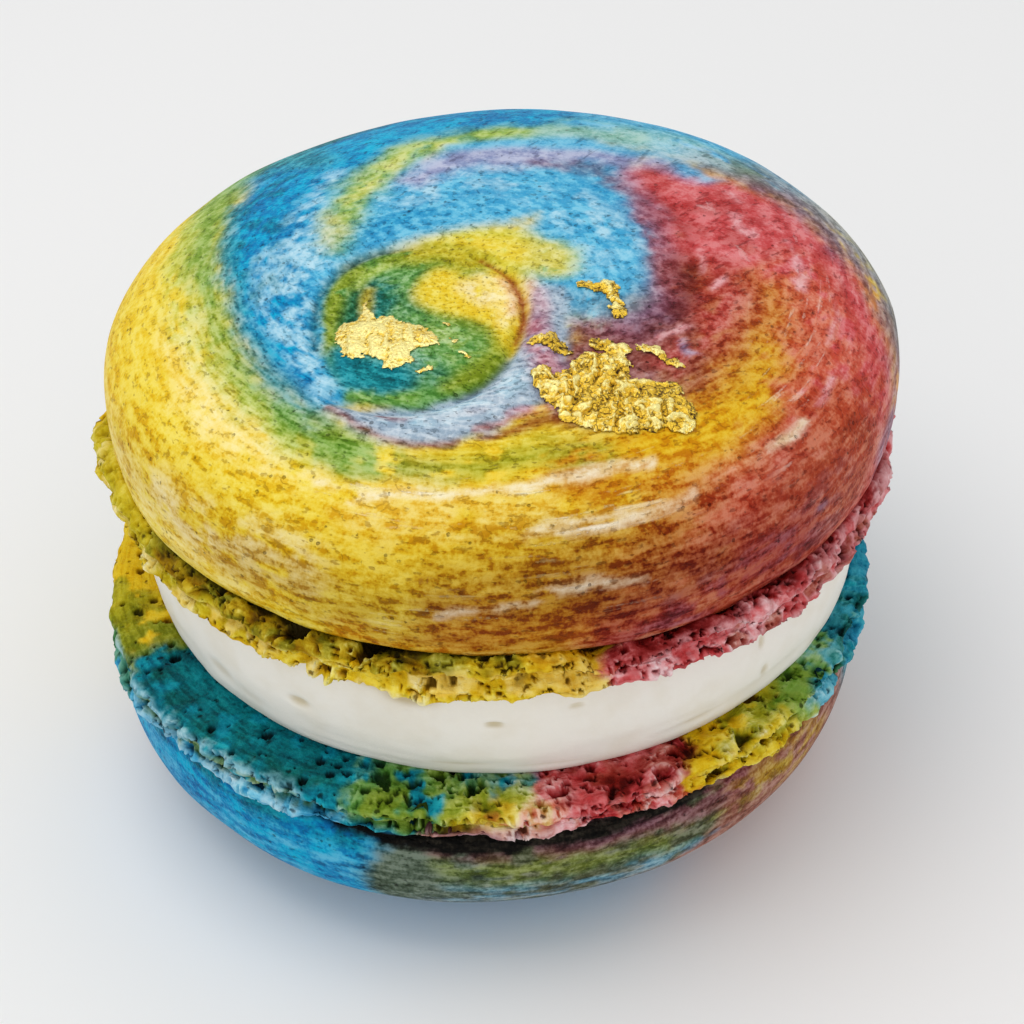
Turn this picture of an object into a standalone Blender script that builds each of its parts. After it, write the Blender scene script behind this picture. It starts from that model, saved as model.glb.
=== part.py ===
"""French macaron: two domed almond shells with ruffled feet and a thick cream filling.

Metres, +Z up. The origin is the centre of the flat spot on which the lower shell rests.
A shell is modelled on its own inner face (z = 0) with its dome upwards; the lower shell is
then turned over. Each shell is one baked piece, so its cap and its foot are one solid.
"""

import math

import bmesh
import bpy
import numpy as np
from mathutils import Matrix, Vector

MM = 0.001

# Shells: cap, crease and foot
UPPER_CAP_RADIUS = 23.0 * MM
LOWER_CAP_RADIUS = 22.7 * MM
DOME_HEIGHT = 8.0 * MM  # from the widest ring up to the crown
DOME_FULLNESS = 2.45  # superellipse exponent: above 2 the crown is flatter and the edge rounder
UNDERCUT_HEIGHT = 3.2 * MM  # from the widest ring in to the crease
UNDERCUT_CURL = 1.2  # exponent: above 1 the cap's side stays plumper before it turns in
CREASE_INSET = 1.1 * MM  # how far the crease lies inside the cap's widest ring
UPPER_FOOT_RADIUS = 23.3 * MM
LOWER_FOOT_RADIUS = 23.5 * MM
FOOT_HEIGHT = 2.6 * MM
FOOT_SWELL_SHARE = 0.625  # share of the foot's height over which it swells to full radius
FOOT_LIP = 0.35 * MM  # how far the foot's rim runs in again at the inner face
FOOT_LIP_CURL = 6  # exponent: only the rim itself runs in
SHELL_HEIGHT = DOME_HEIGHT + UNDERCUT_HEIGHT + FOOT_HEIGHT
WIDEST_Z = SHELL_HEIGHT - DOME_HEIGHT

# The foot's ruffles, in waves round the shell
RUFFLE_WAVES = (5, 8, 13, 21)
RUFFLE_DEPTH = 0.30 * MM
FRILL_DEPTH = 0.15 * MM
RIM_WAVER = 0.20 * MM

# The lower shell rests on a small flat spot on its crown
REST_RADIUS = 6.0 * MM
REST_MARGIN = 0.9 * MM  # the dome's next ring lies at least this far outside the flat spot

# The piped swirl on the upper crown: a groove that winds outwards round the last dab of batter
SWIRL_CENTRE = Vector((-4.5 * MM, -6.5 * MM))
SWIRL_START = 5.6 * MM
SWIRL_GROWTH = 1.6 * MM  # gain in radius for each turn
SWIRL_TURNS = 1.25
SWIRL_DIRECTION = math.radians(60.0)  # where the groove begins; it then winds clockwise
SWIRL_DEPTH = 0.35 * MM
SWIRL_WIDTH = 1.0 * MM
SWIRL_FLOOR = WIDEST_Z + 0.4 * DOME_HEIGHT  # the groove stays on the crown, above this height

# Filling
FILLING_RADIUS = 21.2 * MM
FILLING_HEIGHT = 7.3 * MM  # at the centre, between the two inner faces
FILLING_BULGE = 0.35 * MM
FILLING_WAVER = 0.15 * MM
FIT_GAP = 0.3 * MM

# How the three pieces sit on each other
FILLING_OFFSET = Vector((1.2 * MM, 0.6 * MM))
UPPER_OFFSET = Vector((1.6 * MM, 0.5 * MM))
UPPER_TILT = math.radians(-2.0)  # about X: the near edge stands higher
INNER_FACE_Z = SHELL_HEIGHT
FILLING_TOP_Z = INNER_FACE_Z + FILLING_HEIGHT

# Each piece wavers in its own way
LOWER_SEED = 3
FILLING_SEED = 11
UPPER_SEED = 7

# Mesh fineness
SEGMENTS = 72
UPPER_DOME_ROWS = 22
LOWER_DOME_ROWS = 11
UNDERCUT_ROWS = 5
FOOT_ROWS = 5
FILLING_ROWS = 6
MERGE_DISTANCE = 1e-7
CREASE_ANGLE = math.radians(50.0)

# Finishes: linear colour and roughness
UPPER_FINISH = ((0.72, 0.42, 0.10), 0.50)
LOWER_FINISH = ((0.02, 0.30, 0.50), 0.55)
CREAM_FINISH = ((0.80, 0.78, 0.68), 0.55)


def clear_scene():
    """Removes every object that the scene starts with."""
    for obj in list(bpy.data.objects):
        bpy.data.objects.remove(obj, do_unlink=True)


def make_material(name, finish):
    """One Principled material."""
    colour, roughness = finish
    material = bpy.data.materials.new(name)
    material.use_nodes = True
    shader = material.node_tree.nodes["Principled BSDF"]
    shader.inputs["Base Color"].default_value = (*colour, 1.0)
    shader.inputs["Roughness"].default_value = roughness
    shader.inputs["Metallic"].default_value = 0.0
    return material


def waves(angle, counts, seed):
    """A smooth uneven curve round a circle, between about -1 and 1."""
    phases = np.random.default_rng(seed).uniform(0.0, math.tau, len(counts))
    weights = [1.0 / math.sqrt(rank + 1) for rank in range(len(counts))]
    total = sum(w * math.sin(n * angle + p) for n, p, w in zip(counts, phases, weights))
    return total / sum(weights)


def dome_height(radius, cap_radius):
    """Height of the dome above its widest ring, by the superellipse."""
    share = 1.0 - (radius / cap_radius) ** DOME_FULLNESS
    return DOME_HEIGHT * max(share, 0.0) ** (1.0 / DOME_FULLNESS)


def dome_profile(cap_radius, rows):
    """Crown to widest ring, as (radius, height) above the inner face."""
    points = []
    for row in range(rows + 1):
        turn = row / rows * math.pi / 2
        radius = cap_radius * math.sin(turn) ** (2.0 / DOME_FULLNESS)
        points.append((radius, WIDEST_Z + dome_height(radius, cap_radius)))
    return points


def flattened(profile, cap_radius):
    """The same dome, cut level at the flat spot and stretched back to its full height."""
    crown = dome_height(REST_RADIUS, cap_radius)
    stretch = DOME_HEIGHT / crown
    points = [(0.0, SHELL_HEIGHT), (REST_RADIUS, SHELL_HEIGHT)]
    for radius, z in profile:
        if radius > REST_RADIUS + REST_MARGIN:
            points.append((radius, WIDEST_Z + (z - WIDEST_Z) * stretch))
    return points


def undercut_profile(cap_radius):
    """Widest ring in to the crease, the widest ring itself left out."""
    points = []
    for row in range(1, UNDERCUT_ROWS + 1):
        turn = row / UNDERCUT_ROWS * math.pi / 2
        radius = cap_radius - CREASE_INSET * (1.0 - math.cos(turn)) ** UNDERCUT_CURL
        points.append((radius, WIDEST_Z - UNDERCUT_HEIGHT * math.sin(turn)))
    return points


def foot_profile(foot_radius, crease_radius):
    """Crease down to the inner face: the foot swells out and turns in again at its rim."""
    points = []
    for row in range(1, FOOT_ROWS + 1):
        share = row / FOOT_ROWS
        swell = math.sin(min(share / FOOT_SWELL_SHARE, 1.0) * math.pi / 2)
        radius = crease_radius + (foot_radius - crease_radius) * swell
        radius -= FOOT_LIP * share**FOOT_LIP_CURL
        points.append((radius, FOOT_HEIGHT * (1.0 - share)))
    return points


def spin_profile(profile):
    """Turns (radius, height) points that start and end on the axis into a closed mesh."""
    bm = bmesh.new()
    verts = [bm.verts.new((radius, 0.0, z)) for radius, z in profile]
    edges = [bm.edges.new(pair) for pair in zip(verts, verts[1:])]
    bmesh.ops.spin(
        bm,
        geom=verts + edges,
        cent=(0, 0, 0),
        axis=(0, 0, 1),
        angle=math.tau,
        steps=SEGMENTS,
        use_merge=True,
    )
    bmesh.ops.remove_doubles(bm, verts=bm.verts, dist=MERGE_DISTANCE)
    bmesh.ops.recalc_face_normals(bm, faces=bm.faces)
    return bm


def ruffle_foot(bm, seed):
    """Waves the foot in and out, and lifts and drops its rim a little."""
    for vert in bm.verts:
        radius = vert.co.xy.length
        on_foot = vert.co.z < FOOT_HEIGHT - MERGE_DISTANCE
        if not on_foot or radius < FILLING_RADIUS + MERGE_DISTANCE:
            continue
        angle = math.atan2(vert.co.y, vert.co.x)
        depth = 1.0 - vert.co.z / FOOT_HEIGHT
        push = RUFFLE_DEPTH * waves(angle, RUFFLE_WAVES, seed) * math.sqrt(depth)
        push += FRILL_DEPTH * waves(angle + depth, RUFFLE_WAVES[1:], seed + 1) * depth
        vert.co.xy *= (radius + push) / radius
        vert.co.z += RIM_WAVER * waves(angle, RUFFLE_WAVES[:-1], seed + 2) * depth**2


def groove_share(point):
    """How deep a point on the crown lies in the swirl's groove, from 0 to 1."""
    offset = Vector(point) - SWIRL_CENTRE
    start = (SWIRL_DIRECTION - math.atan2(offset.y, offset.x)) % math.tau / math.tau
    deepest = 0.0
    for lap in range(math.ceil(SWIRL_TURNS)):
        turn = start + lap
        if turn > SWIRL_TURNS:
            break
        away = offset.length - (SWIRL_START + SWIRL_GROWTH * turn)
        strength = math.sin(math.pi * turn / SWIRL_TURNS)
        deepest = max(deepest, strength * math.exp(-((away / SWIRL_WIDTH) ** 2)))
    return deepest


def press_swirl(bm):
    """Presses the piped swirl's groove into the crown."""
    for vert in bm.verts:
        if vert.co.z > SWIRL_FLOOR:
            vert.co.z -= SWIRL_DEPTH * groove_share(vert.co.xy)


def finish_object(name, bm, material):
    """Makes the object, shaded smooth with crisp creases."""
    mesh = bpy.data.meshes.new(name)
    bm.to_mesh(mesh)
    bm.free()
    mesh.materials.append(material)
    mesh.shade_smooth()
    mesh.set_sharp_from_angle(angle=CREASE_ANGLE)
    obj = bpy.data.objects.new(name, mesh)
    bpy.context.scene.collection.objects.link(obj)
    return obj


def make_shell(dome, cap_radius, foot_radius, seed):
    """One shell, dome upwards, standing on its inner face."""
    profile = dome + undercut_profile(cap_radius)
    profile += foot_profile(foot_radius, cap_radius - CREASE_INSET)
    profile += [(FILLING_RADIUS, 0.0), (0.0, 0.0)]
    bm = spin_profile(profile)
    ruffle_foot(bm, seed)
    return bm


def make_upper_shell():
    """The shell with the piped swirl on its crown, tilted a little on the filling."""
    dome = dome_profile(UPPER_CAP_RADIUS, UPPER_DOME_ROWS)
    bm = make_shell(dome, UPPER_CAP_RADIUS, UPPER_FOOT_RADIUS, UPPER_SEED)
    press_swirl(bm)
    upper = finish_object("upper_shell", bm, make_material("upper_shell", UPPER_FINISH))
    upper.location = (*UPPER_OFFSET, FILLING_TOP_Z)
    upper.rotation_euler.x = UPPER_TILT


def make_lower_shell():
    """The shell that the macaron rests on, turned over."""
    dome = flattened(dome_profile(LOWER_CAP_RADIUS, LOWER_DOME_ROWS), LOWER_CAP_RADIUS)
    bm = make_shell(dome, LOWER_CAP_RADIUS, LOWER_FOOT_RADIUS, LOWER_SEED)
    lower = finish_object("lower_shell", bm, make_material("lower_shell", LOWER_FINISH))
    lower.location.z = INNER_FACE_Z
    lower.rotation_euler.x = math.pi


def make_filling():
    """The cream disc: a softly bulging side, and a top that follows the upper shell's tilt."""
    bottom_z = INNER_FACE_Z + FIT_GAP
    top_z = FILLING_TOP_Z - FIT_GAP
    profile = [(0.0, top_z)]
    for row in range(FILLING_ROWS + 1):
        share = row / FILLING_ROWS
        radius = FILLING_RADIUS + FILLING_BULGE * math.sin(math.pi * share)
        profile.append((radius, top_z + (bottom_z - top_z) * share))
    profile.append((0.0, bottom_z))
    bm = spin_profile(profile)
    bmesh.ops.transform(bm, matrix=Matrix.Translation((*FILLING_OFFSET, 0)), verts=bm.verts)
    slope = math.tan(UPPER_TILT)
    for vert in bm.verts:
        out = vert.co.xy - FILLING_OFFSET
        share = (vert.co.z - bottom_z) / (top_z - bottom_z)
        angle = math.atan2(out.y, out.x)
        waver = FILLING_WAVER * waves(angle, RUFFLE_WAVES[:2], FILLING_SEED)
        vert.co.xy = FILLING_OFFSET + out * (1.0 + waver / FILLING_RADIUS)
        vert.co.z += slope * (vert.co.y - UPPER_OFFSET.y) * share
    finish_object("filling", bm, make_material("cream", CREAM_FINISH))


def main():
    """Builds the three pieces from the bottom up."""
    clear_scene()
    make_lower_shell()
    make_filling()
    make_upper_shell()


main()
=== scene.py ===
"""A french macaron: marbled almond shells with ruffled feet, thick cream, a swirl and gold leaf."""

import logging
import math
from collections.abc import Callable, Sequence
from dataclasses import dataclass, field
from enum import Enum

import bmesh
import bpy
import numpy as np
from mathutils import Matrix, Vector


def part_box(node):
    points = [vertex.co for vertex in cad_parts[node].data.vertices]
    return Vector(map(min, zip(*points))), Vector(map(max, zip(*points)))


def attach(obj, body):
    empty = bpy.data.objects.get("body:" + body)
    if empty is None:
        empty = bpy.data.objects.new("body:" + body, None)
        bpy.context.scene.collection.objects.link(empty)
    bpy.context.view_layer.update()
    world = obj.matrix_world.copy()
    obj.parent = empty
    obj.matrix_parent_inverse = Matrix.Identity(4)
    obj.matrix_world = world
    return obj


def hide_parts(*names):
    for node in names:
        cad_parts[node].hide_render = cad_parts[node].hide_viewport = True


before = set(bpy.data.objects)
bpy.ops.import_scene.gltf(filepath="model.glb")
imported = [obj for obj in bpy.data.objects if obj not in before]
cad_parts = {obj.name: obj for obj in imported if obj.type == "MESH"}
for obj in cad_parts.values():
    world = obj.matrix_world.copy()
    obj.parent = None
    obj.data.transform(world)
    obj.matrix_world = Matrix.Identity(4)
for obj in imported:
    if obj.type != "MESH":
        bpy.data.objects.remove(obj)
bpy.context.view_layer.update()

LOG = logging.getLogger("macaron")
MM = 0.001
ROOT = "root"
MERGE_DISTANCE = 1e-7

BATTER = "batter"  # colour attribute: the batter's own colour
FLOW = "flow"  # vector attribute: a place along and across the strokes of batter
RELIEF = "relief"  # number attribute: -1 in a pit, +1 on a raised lip; the finishes paint shade where it is low and, on crust and gold, light where it is high
GLAZE = "glaze"  # number attribute: how clearly the brush left pale streaks
TOAST = "toast"  # number attribute: how strongly the oven stained the batter

Array = np.ndarray
Sheet = bmesh.types.BMesh
Material = bpy.types.Material
Object = bpy.types.Object
Curve = tuple[tuple[float, float], ...]
Operand = "Signal | float | Sequence[float]"


# ---- Noise and small curves, worked out for whole arrays of points


def smoothstep(low: float, high: float, value: Array) -> Array:
    """A soft step.

    Args:
        low: Where the step starts from 0.
        high: Where it reaches 1; it may lie below low.
        value: What is compared with them.

    Returns:
        Values from 0 to 1.
    """
    share = np.clip((value - low) / (high - low), 0.0, 1.0)
    return share * share * (3.0 - 2.0 * share)


def around(degrees: Array, keys: Sequence[tuple[float, float]]) -> Array:
    """A value that changes softly round a ring.

    Args:
        degrees: Azimuths, in degrees.
        keys: Azimuth and value pairs, in rising order of azimuth.

    Returns:
        The value at each azimuth.
    """
    places = np.array([key[0] for key in keys])
    values = np.array([key[1] for key in keys])
    turned = (degrees - places[0]) % 360.0 + places[0]
    places = np.append(places, places[0] + 360.0)
    values = np.append(values, values[0])
    index = np.clip(np.searchsorted(places, turned, side="right") - 1, 0, len(places) - 2)
    share = (turned - places[index]) / (places[index + 1] - places[index])
    share = share * share * (3.0 - 2.0 * share)
    return values[index] + (values[index + 1] - values[index]) * share


class Grain:
    """Smooth seeded noise in three dimensions."""

    SIZE = 32

    def __init__(self, seed: int) -> None:
        """Fills the lattice.

        Args:
            seed: Chooses the pattern.
        """
        rng = np.random.default_rng(seed)
        self.values = rng.uniform(-1.0, 1.0, (self.SIZE,) * 3)
        self.offsets = rng.uniform(0.0, 1.0, (self.SIZE,) * 3 + (3,))

    def smooth(self, points: Array, wavelength: float) -> Array:
        """Rolling noise.

        Args:
            points: Places, (count, 3).
            wavelength: Distance between neighbouring hills, in the points' own unit.

        Returns:
            Values between -1 and 1.
        """
        scaled = points / wavelength
        cell = np.floor(scaled).astype(int)
        share = scaled - cell
        share = share * share * share * (share * (share * 6.0 - 15.0) + 10.0)
        total = np.zeros(len(points))
        for corner in np.ndindex(2, 2, 2):
            weight = np.prod(np.where(corner, share, 1.0 - share), axis=1)
            x, y, z = ((cell + corner) % self.SIZE).T
            total += weight * self.values[x, y, z]
        return total

    def fractal(self, points: Array, wavelength: float, octaves: int = 3) -> Array:
        """Rolling noise with finer noise on it.

        Args:
            points: Places, (count, 3).
            wavelength: Distance between the largest hills.
            octaves: How many layers, each half the size and height of the last.

        Returns:
            Values between about -1 and 1.
        """
        total = np.zeros(len(points))
        for octave in range(octaves):
            shifted = points + 7.3 * wavelength * octave
            total += self.smooth(shifted, wavelength / 2**octave) / 2**octave
        return total / (2.0 - 0.5 ** (octaves - 1))

    def cells(self, points: Array, size: float) -> tuple[Array, Array]:
        """Bubbles: distances to the nearest of a set of scattered centres.

        Args:
            points: Places, (count, 3).
            size: Usual distance between centres.

        Returns:
            The distances to the nearest centre, as shares of size, and a random number from 0
            to 1 for the bubble that the point lies in.
        """
        scaled = points / size
        base = np.floor(scaled).astype(int)
        nearest = np.full(len(points), np.inf)
        token = np.zeros(len(points))
        for step in np.ndindex(3, 3, 3):
            cell = base + (np.array(step) - 1)
            x, y, z = (cell % self.SIZE).T
            centre = cell + self.offsets[x, y, z]
            distance = np.linalg.norm(scaled - centre, axis=1)
            closer = distance < nearest
            token = np.where(closer, 0.5 + 0.5 * self.values[x, y, z], token)
            nearest = np.where(closer, distance, nearest)
        return nearest, token


# ---- Batter: its pigments and the strokes it was piped and brushed in


def linear(hex_colour: str) -> tuple[float, float, float]:
    """The linear colour of a six-digit screen colour."""
    screen = [int(hex_colour[i : i + 2], 16) / 255.0 for i in (0, 2, 4)]
    return tuple(c / 12.92 if c <= 0.04045 else ((c + 0.055) / 1.055) ** 2.4 for c in screen)


class Pigment(Enum):
    """Food colours of the batter, as screen colours."""

    LEMON = "ebcd3a"
    BUTTER = "f6df86"
    IVORY = "f4e8c8"
    GOLDEN = "deb010"
    OCHRE = "b48c08"
    AMBER = "c47c1c"
    UMBER = "7c4604"
    RUST = "a3492a"
    BRICK = "ad342e"
    ROSE = "cc5a5c"
    CORAL = "cc6444"
    BLUSH = "e0a0a4"
    WINE = "75384a"
    PLUM = "5a3a52"
    MAUVE = "8f7288"
    LILAC = "9c9cbe"
    MIST = "a0b2c2"
    SKY = "52aed4"
    AZURE = "008ec0"
    PALE_SKY = "a9d6e6"
    LAGOON = "0a889c"
    TEAL = "006468"
    PINE = "145c3c"
    LEAF = "7aa449"
    SPRING = "b2c556"
    OLIVE = "85941f"
    MOSS = "66660f"
    SLATE = "7d8b92"
    CHERRY = "86201f"
    CLAY = "986454"
    MUSTARD = "e2c228"
    THYME = "566046"
    FERN = "5a8f42"
    # near black, for a painted shadow
    CREASE_SHADOW = "100d08"
    COCOA = "8a4a3c"

    @property
    def colour(self) -> Array:
        """The pigment's linear colour."""
        return np.array(linear(self.value))


@dataclass(frozen=True)
class Route:
    """A smooth line of changing width over an unrolled surface.

    Attributes:
        keys: Places that it passes: two coordinates and the half width in mm.
    """

    keys: tuple[tuple[float, float, float], ...]

    FAR = -99.0  # depth of a place that is nowhere near
    MARGIN = 4.0  # how far off the line a place is still looked at, in mm
    SPACING = 1.1  # distance between points along the line, in mm

    def samples(self, unit: tuple[float, float]) -> Array:
        """Points along the line.

        Args:
            unit: Millimetres for one step of each coordinate.

        Returns:
            Places and half widths in mm, (count, 3).
        """
        keys = np.array(self.keys, float) * (*unit, 1.0)
        padded = np.vstack((2 * keys[0] - keys[1], keys, 2 * keys[-1] - keys[-2]))
        parts = []
        for first, second, third, fourth in zip(padded, padded[1:], padded[2:], padded[3:]):
            count = max(2, int(np.linalg.norm((third - second)[:2]) / self.SPACING) + 1)
            share = np.linspace(0.0, 1.0, count + 1)[:-1, None]
            bend = 2 * first - 5 * second + 4 * third - fourth
            twist = 3 * second - first - 3 * third + fourth
            parts.append(second + 0.5 * share * (third - first + share * (bend + share * twist)))
        return np.vstack((*parts, keys[-1:]))

    def inside(
        self, places: Array, unit: tuple[float, float] = (1.0, 1.0), period: float = 0.0
    ) -> Array:
        """How deep each place lies inside the line's edge.

        Args:
            places: Places in mm, (count, 2).
            unit: Millimetres for one step of each coordinate.
            period: Length after which the first axis meets itself, or 0.

        Returns:
            Depths in mm, which are negative outside the line.
        """
        points = self.samples(unit)
        margin = points[:, 2].max() + self.MARGIN
        near = np.abs(places[:, 1] - points[:, 1].mean()) < margin + np.ptp(points[:, 1])
        if not period:
            near &= places[:, 0] > points[:, 0].min() - margin
            near &= places[:, 0] < points[:, 0].max() + margin
        index = np.nonzero(near)[0]
        along, down = places[index].T
        best = np.full(len(index), self.FAR)
        for (x, y, width), (next_x, next_y, next_width) in zip(points, points[1:]):
            run_x, run_y = next_x - x, next_y - y
            off_x, off_y = along - x, down - y
            if period:
                off_x = (off_x + period / 2) % period - period / 2
            size = run_x**2 + run_y**2 + 1e-12
            share = np.clip((off_x * run_x + off_y * run_y) / size, 0.0, 1.0)
            reach = np.hypot(off_x - share * run_x, off_y - share * run_y)
            best = np.maximum(best, width + (next_width - width) * share - reach)
        depth = np.full(len(places), self.FAR)
        depth[index] = best
        return depth


@dataclass(frozen=True)
class Stroke(Route):
    """One streak of coloured batter.

    Attributes:
        pigment: Its colour.
        softness: Width of its feathered edge, in mm.
        strength: How much of what lies under it it covers.
        broken: Share of it that has dried away in small patches.
        ragged: How far its edge strays, as a share of the canvas's stray.
    """

    pigment: Pigment = Pigment.IVORY
    softness: float = 0.9
    strength: float = 1.0
    broken: float = 0.0
    ragged: float = 1.0


@dataclass(frozen=True)
class Furrow(Route):
    """A groove in the crust, or a ridge on it.

    Attributes:
        height: How far it rises, in mm; it is negative for a groove.
        softness: Width of its slopes, in mm.
    """

    height: float = -0.3
    softness: float = 0.4


@dataclass
class Canvas:
    """The unrolled surface of one piece, which is painted with strokes of batter.

    Attributes:
        places: Each vertex's place on the unrolled surface in mm, (count, 2).
        stray: How far a stroke's edge strays at each vertex, in mm.
        patches: Noise from 0 to 1 that breaks up a broken stroke.
        unit: Millimetres for one step of each coordinate of a stroke's route.
        period: Length of the first axis after which it meets itself, or 0 if it doesn't.
    """

    places: Array
    stray: Array
    patches: Array
    unit: tuple[float, float] = (1.0, 1.0)
    period: float = 0.0
    colours: Array = field(init=False)

    BREAK = 0.16  # softness of the broken patches' edges

    def __post_init__(self) -> None:
        """Starts with an unpainted surface."""
        self.colours = np.ones((len(self.places), 3))

    def fill(self, pigment: Pigment) -> None:
        """Gives the whole surface one colour."""
        self.colours[:] = pigment.colour

    def cover(self, stroke: Stroke) -> Array:
        """How far a stroke covers each vertex, from 0 to 1."""
        depth = stroke.inside(self.places, self.unit, self.period)
        share = smoothstep(-stroke.softness, stroke.softness, depth + self.stray * stroke.ragged)
        if stroke.broken:
            low, high = stroke.broken - self.BREAK, stroke.broken + self.BREAK
            share = share * smoothstep(low, high, self.patches)
        return share * stroke.strength

    def paint(self, strokes: Sequence[Stroke]) -> None:
        """Lays strokes over each other, the lowest first."""
        for stroke in strokes:
            share = self.cover(stroke)[:, None]
            self.colours += (stroke.pigment.colour - self.colours) * share

    def mask(self, strokes: Sequence[Stroke]) -> Array:
        """How far any of the strokes covers each vertex."""
        covers = [self.cover(stroke) for stroke in strokes]
        return np.max(covers, axis=0) if covers else np.zeros(len(self.places))


# ---- Material nodes


class Signal:
    """An output of a material's node. Python's operators on it add the nodes they need."""

    def __init__(self, graph: "Graph", socket: bpy.types.NodeSocket) -> None:
        """Keeps the output and its graph.

        Args:
            graph: The material's nodes.
            socket: The output.
        """
        self.graph = graph
        self.socket = socket

    def _join(self, operation: str, first: Operand, second: Operand) -> "Signal":
        """Adds the node that works out one operator.

        Args:
            operation: A Math operation that Vector Math and Mix know too.
            first: What stands to the left.
            second: What stands to the right.

        Returns:
            The node's result.
        """
        kind = {"VALUE": "ShaderNodeMath", "VECTOR": "ShaderNodeVectorMath"}.get(self.socket.type)
        if kind:
            return self.graph.add(kind, {"operation": operation}, {0: first, 1: second})
        settings = {"data_type": "RGBA", "blend_type": operation}
        return self.graph.add("ShaderNodeMix", settings, {0: 1.0, 6: first, 7: second}, output=2)

    def __add__(self, other: Operand) -> "Signal":
        """The sum."""
        return self._join("ADD", self, other)

    def __radd__(self, other: Operand) -> "Signal":
        """The sum."""
        return self._join("ADD", other, self)

    def __sub__(self, other: Operand) -> "Signal":
        """The difference."""
        return self._join("SUBTRACT", self, other)

    def __rsub__(self, other: Operand) -> "Signal":
        """The difference the other way round."""
        return self._join("SUBTRACT", other, self)

    def __mul__(self, other: Operand) -> "Signal":
        """The product."""
        return self._join("MULTIPLY", self, other)

    def __rmul__(self, other: Operand) -> "Signal":
        """The product."""
        return self._join("MULTIPLY", other, self)


class Graph:
    """The nodes of one material, with its Principled shader."""

    def __init__(self, name: str) -> None:
        """Makes the material.

        Args:
            name: The material's name.
        """
        self.material = bpy.data.materials.new(name)
        self.material.use_nodes = True
        self.tree = self.material.node_tree
        self.shader = self.tree.nodes["Principled BSDF"]

    def add(
        self,
        kind: str,
        settings: dict[str, object] | None = None,
        inputs: dict[str | int, Operand] | None = None,
        output: str | int = 0,
    ) -> Signal:
        """Adds a node.

        Args:
            kind: The node's type.
            settings: The node's own properties.
            inputs: Values or links of its inputs, by name or number.
            output: Which output is wanted.

        Returns:
            That output.
        """
        node = self.tree.nodes.new(kind)
        for key, value in (settings or {}).items():
            setattr(node, key, value)
        for key, value in (inputs or {}).items():
            self.feed(node.inputs[key], value)
        return Signal(self, node.outputs[output])

    def feed(self, socket: bpy.types.NodeSocket, value: Operand) -> None:
        """Links a signal to an input, or sets the input's own value.

        Args:
            socket: The input.
            value: A signal, a number, or a tuple of numbers.
        """
        if isinstance(value, Signal):
            self.tree.links.new(value.socket, socket)
        elif socket.type == "VALUE":
            socket.default_value = value
        else:
            size = len(socket.default_value)
            numbers = [value] * 3 if isinstance(value, (int, float)) else list(value)
            socket.default_value = (numbers + [1.0])[:size]

    def dress(self, inputs: dict[str, Operand]) -> None:
        """Sets inputs of the shader.

        Args:
            inputs: Values or signals by the input's name.
        """
        for key, value in inputs.items():
            self.feed(self.shader.inputs[key], value)

    def attribute(self, name: str, output: str) -> Signal:
        """One of the mesh's own attributes: its Color, Vector or Fac output."""
        return self.add("ShaderNodeAttribute", {"attribute_name": name}, output=output)

    def place(self) -> Signal:
        """The place on the piece, in metres."""
        return self.add("ShaderNodeTexCoord", output="Object")

    def noise(self, place: Signal, size: float, detail: float = 3.0) -> Signal:
        """Noise between 0 and 1.

        Args:
            place: Where it is looked up.
            size: Size of its patches, in the place's own unit.
            detail: How many finer layers it has.

        Returns:
            The noise, about 0.5 on average.
        """
        inputs = {"Vector": place, "Scale": 1.0 / size, "Detail": detail}
        return self.add("ShaderNodeTexNoise", {}, inputs)

    def bubbles(self, place: Signal, size: float) -> Signal:
        """Distance to the nearest of a set of scattered points, as a share of their spacing."""
        inputs = {"Vector": place, "Scale": 1.0 / size}
        return self.add("ShaderNodeTexVoronoi", {"feature": "F1"}, inputs, output="Distance")

    def step(self, value: Signal, low: float, high: float, top: float = 1.0) -> Signal:
        """A soft step.

        Args:
            value: What is compared.
            low: Where the step starts from 0.
            high: Where it ends.
            top: What it reaches there.

        Returns:
            The step's value.
        """
        inputs = {0: value, 1: min(low, high), 2: max(low, high)}
        inputs |= {3: 0.0, 4: top} if low < high else {3: top, 4: 0.0}
        return self.add("ShaderNodeMapRange", {"interpolation_type": "SMOOTHSTEP"}, inputs)

    def clamp(self, value: Signal, low: float, high: float) -> Signal:
        """The value, kept between low and high."""
        return self.add("ShaderNodeClamp", {}, {"Value": value, "Min": low, "Max": high})

    def mix(self, share: Operand, first: Operand, second: Operand) -> Signal:
        """Colour that goes from first to second as share goes from 0 to 1."""
        inputs = {0: share, 6: first, 7: second}
        return self.add("ShaderNodeMix", {"data_type": "RGBA"}, inputs, output=2)

    def thicken(self, colour: Signal, density: Operand) -> Signal:
        """The colour as a thicker or thinner wash of its pigment, where 1 leaves it as it is."""
        return self.add("ShaderNodeGamma", {}, {"Color": colour, "Gamma": density})

    def bump(self, height: Signal, distance: float) -> Signal:
        """A surface that rises by distance, in metres, where height is 1."""
        inputs = {"Height": height, "Distance": distance, "Strength": 1.0}
        return self.add("ShaderNodeBump", {}, inputs)


# ---- Finishes


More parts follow.
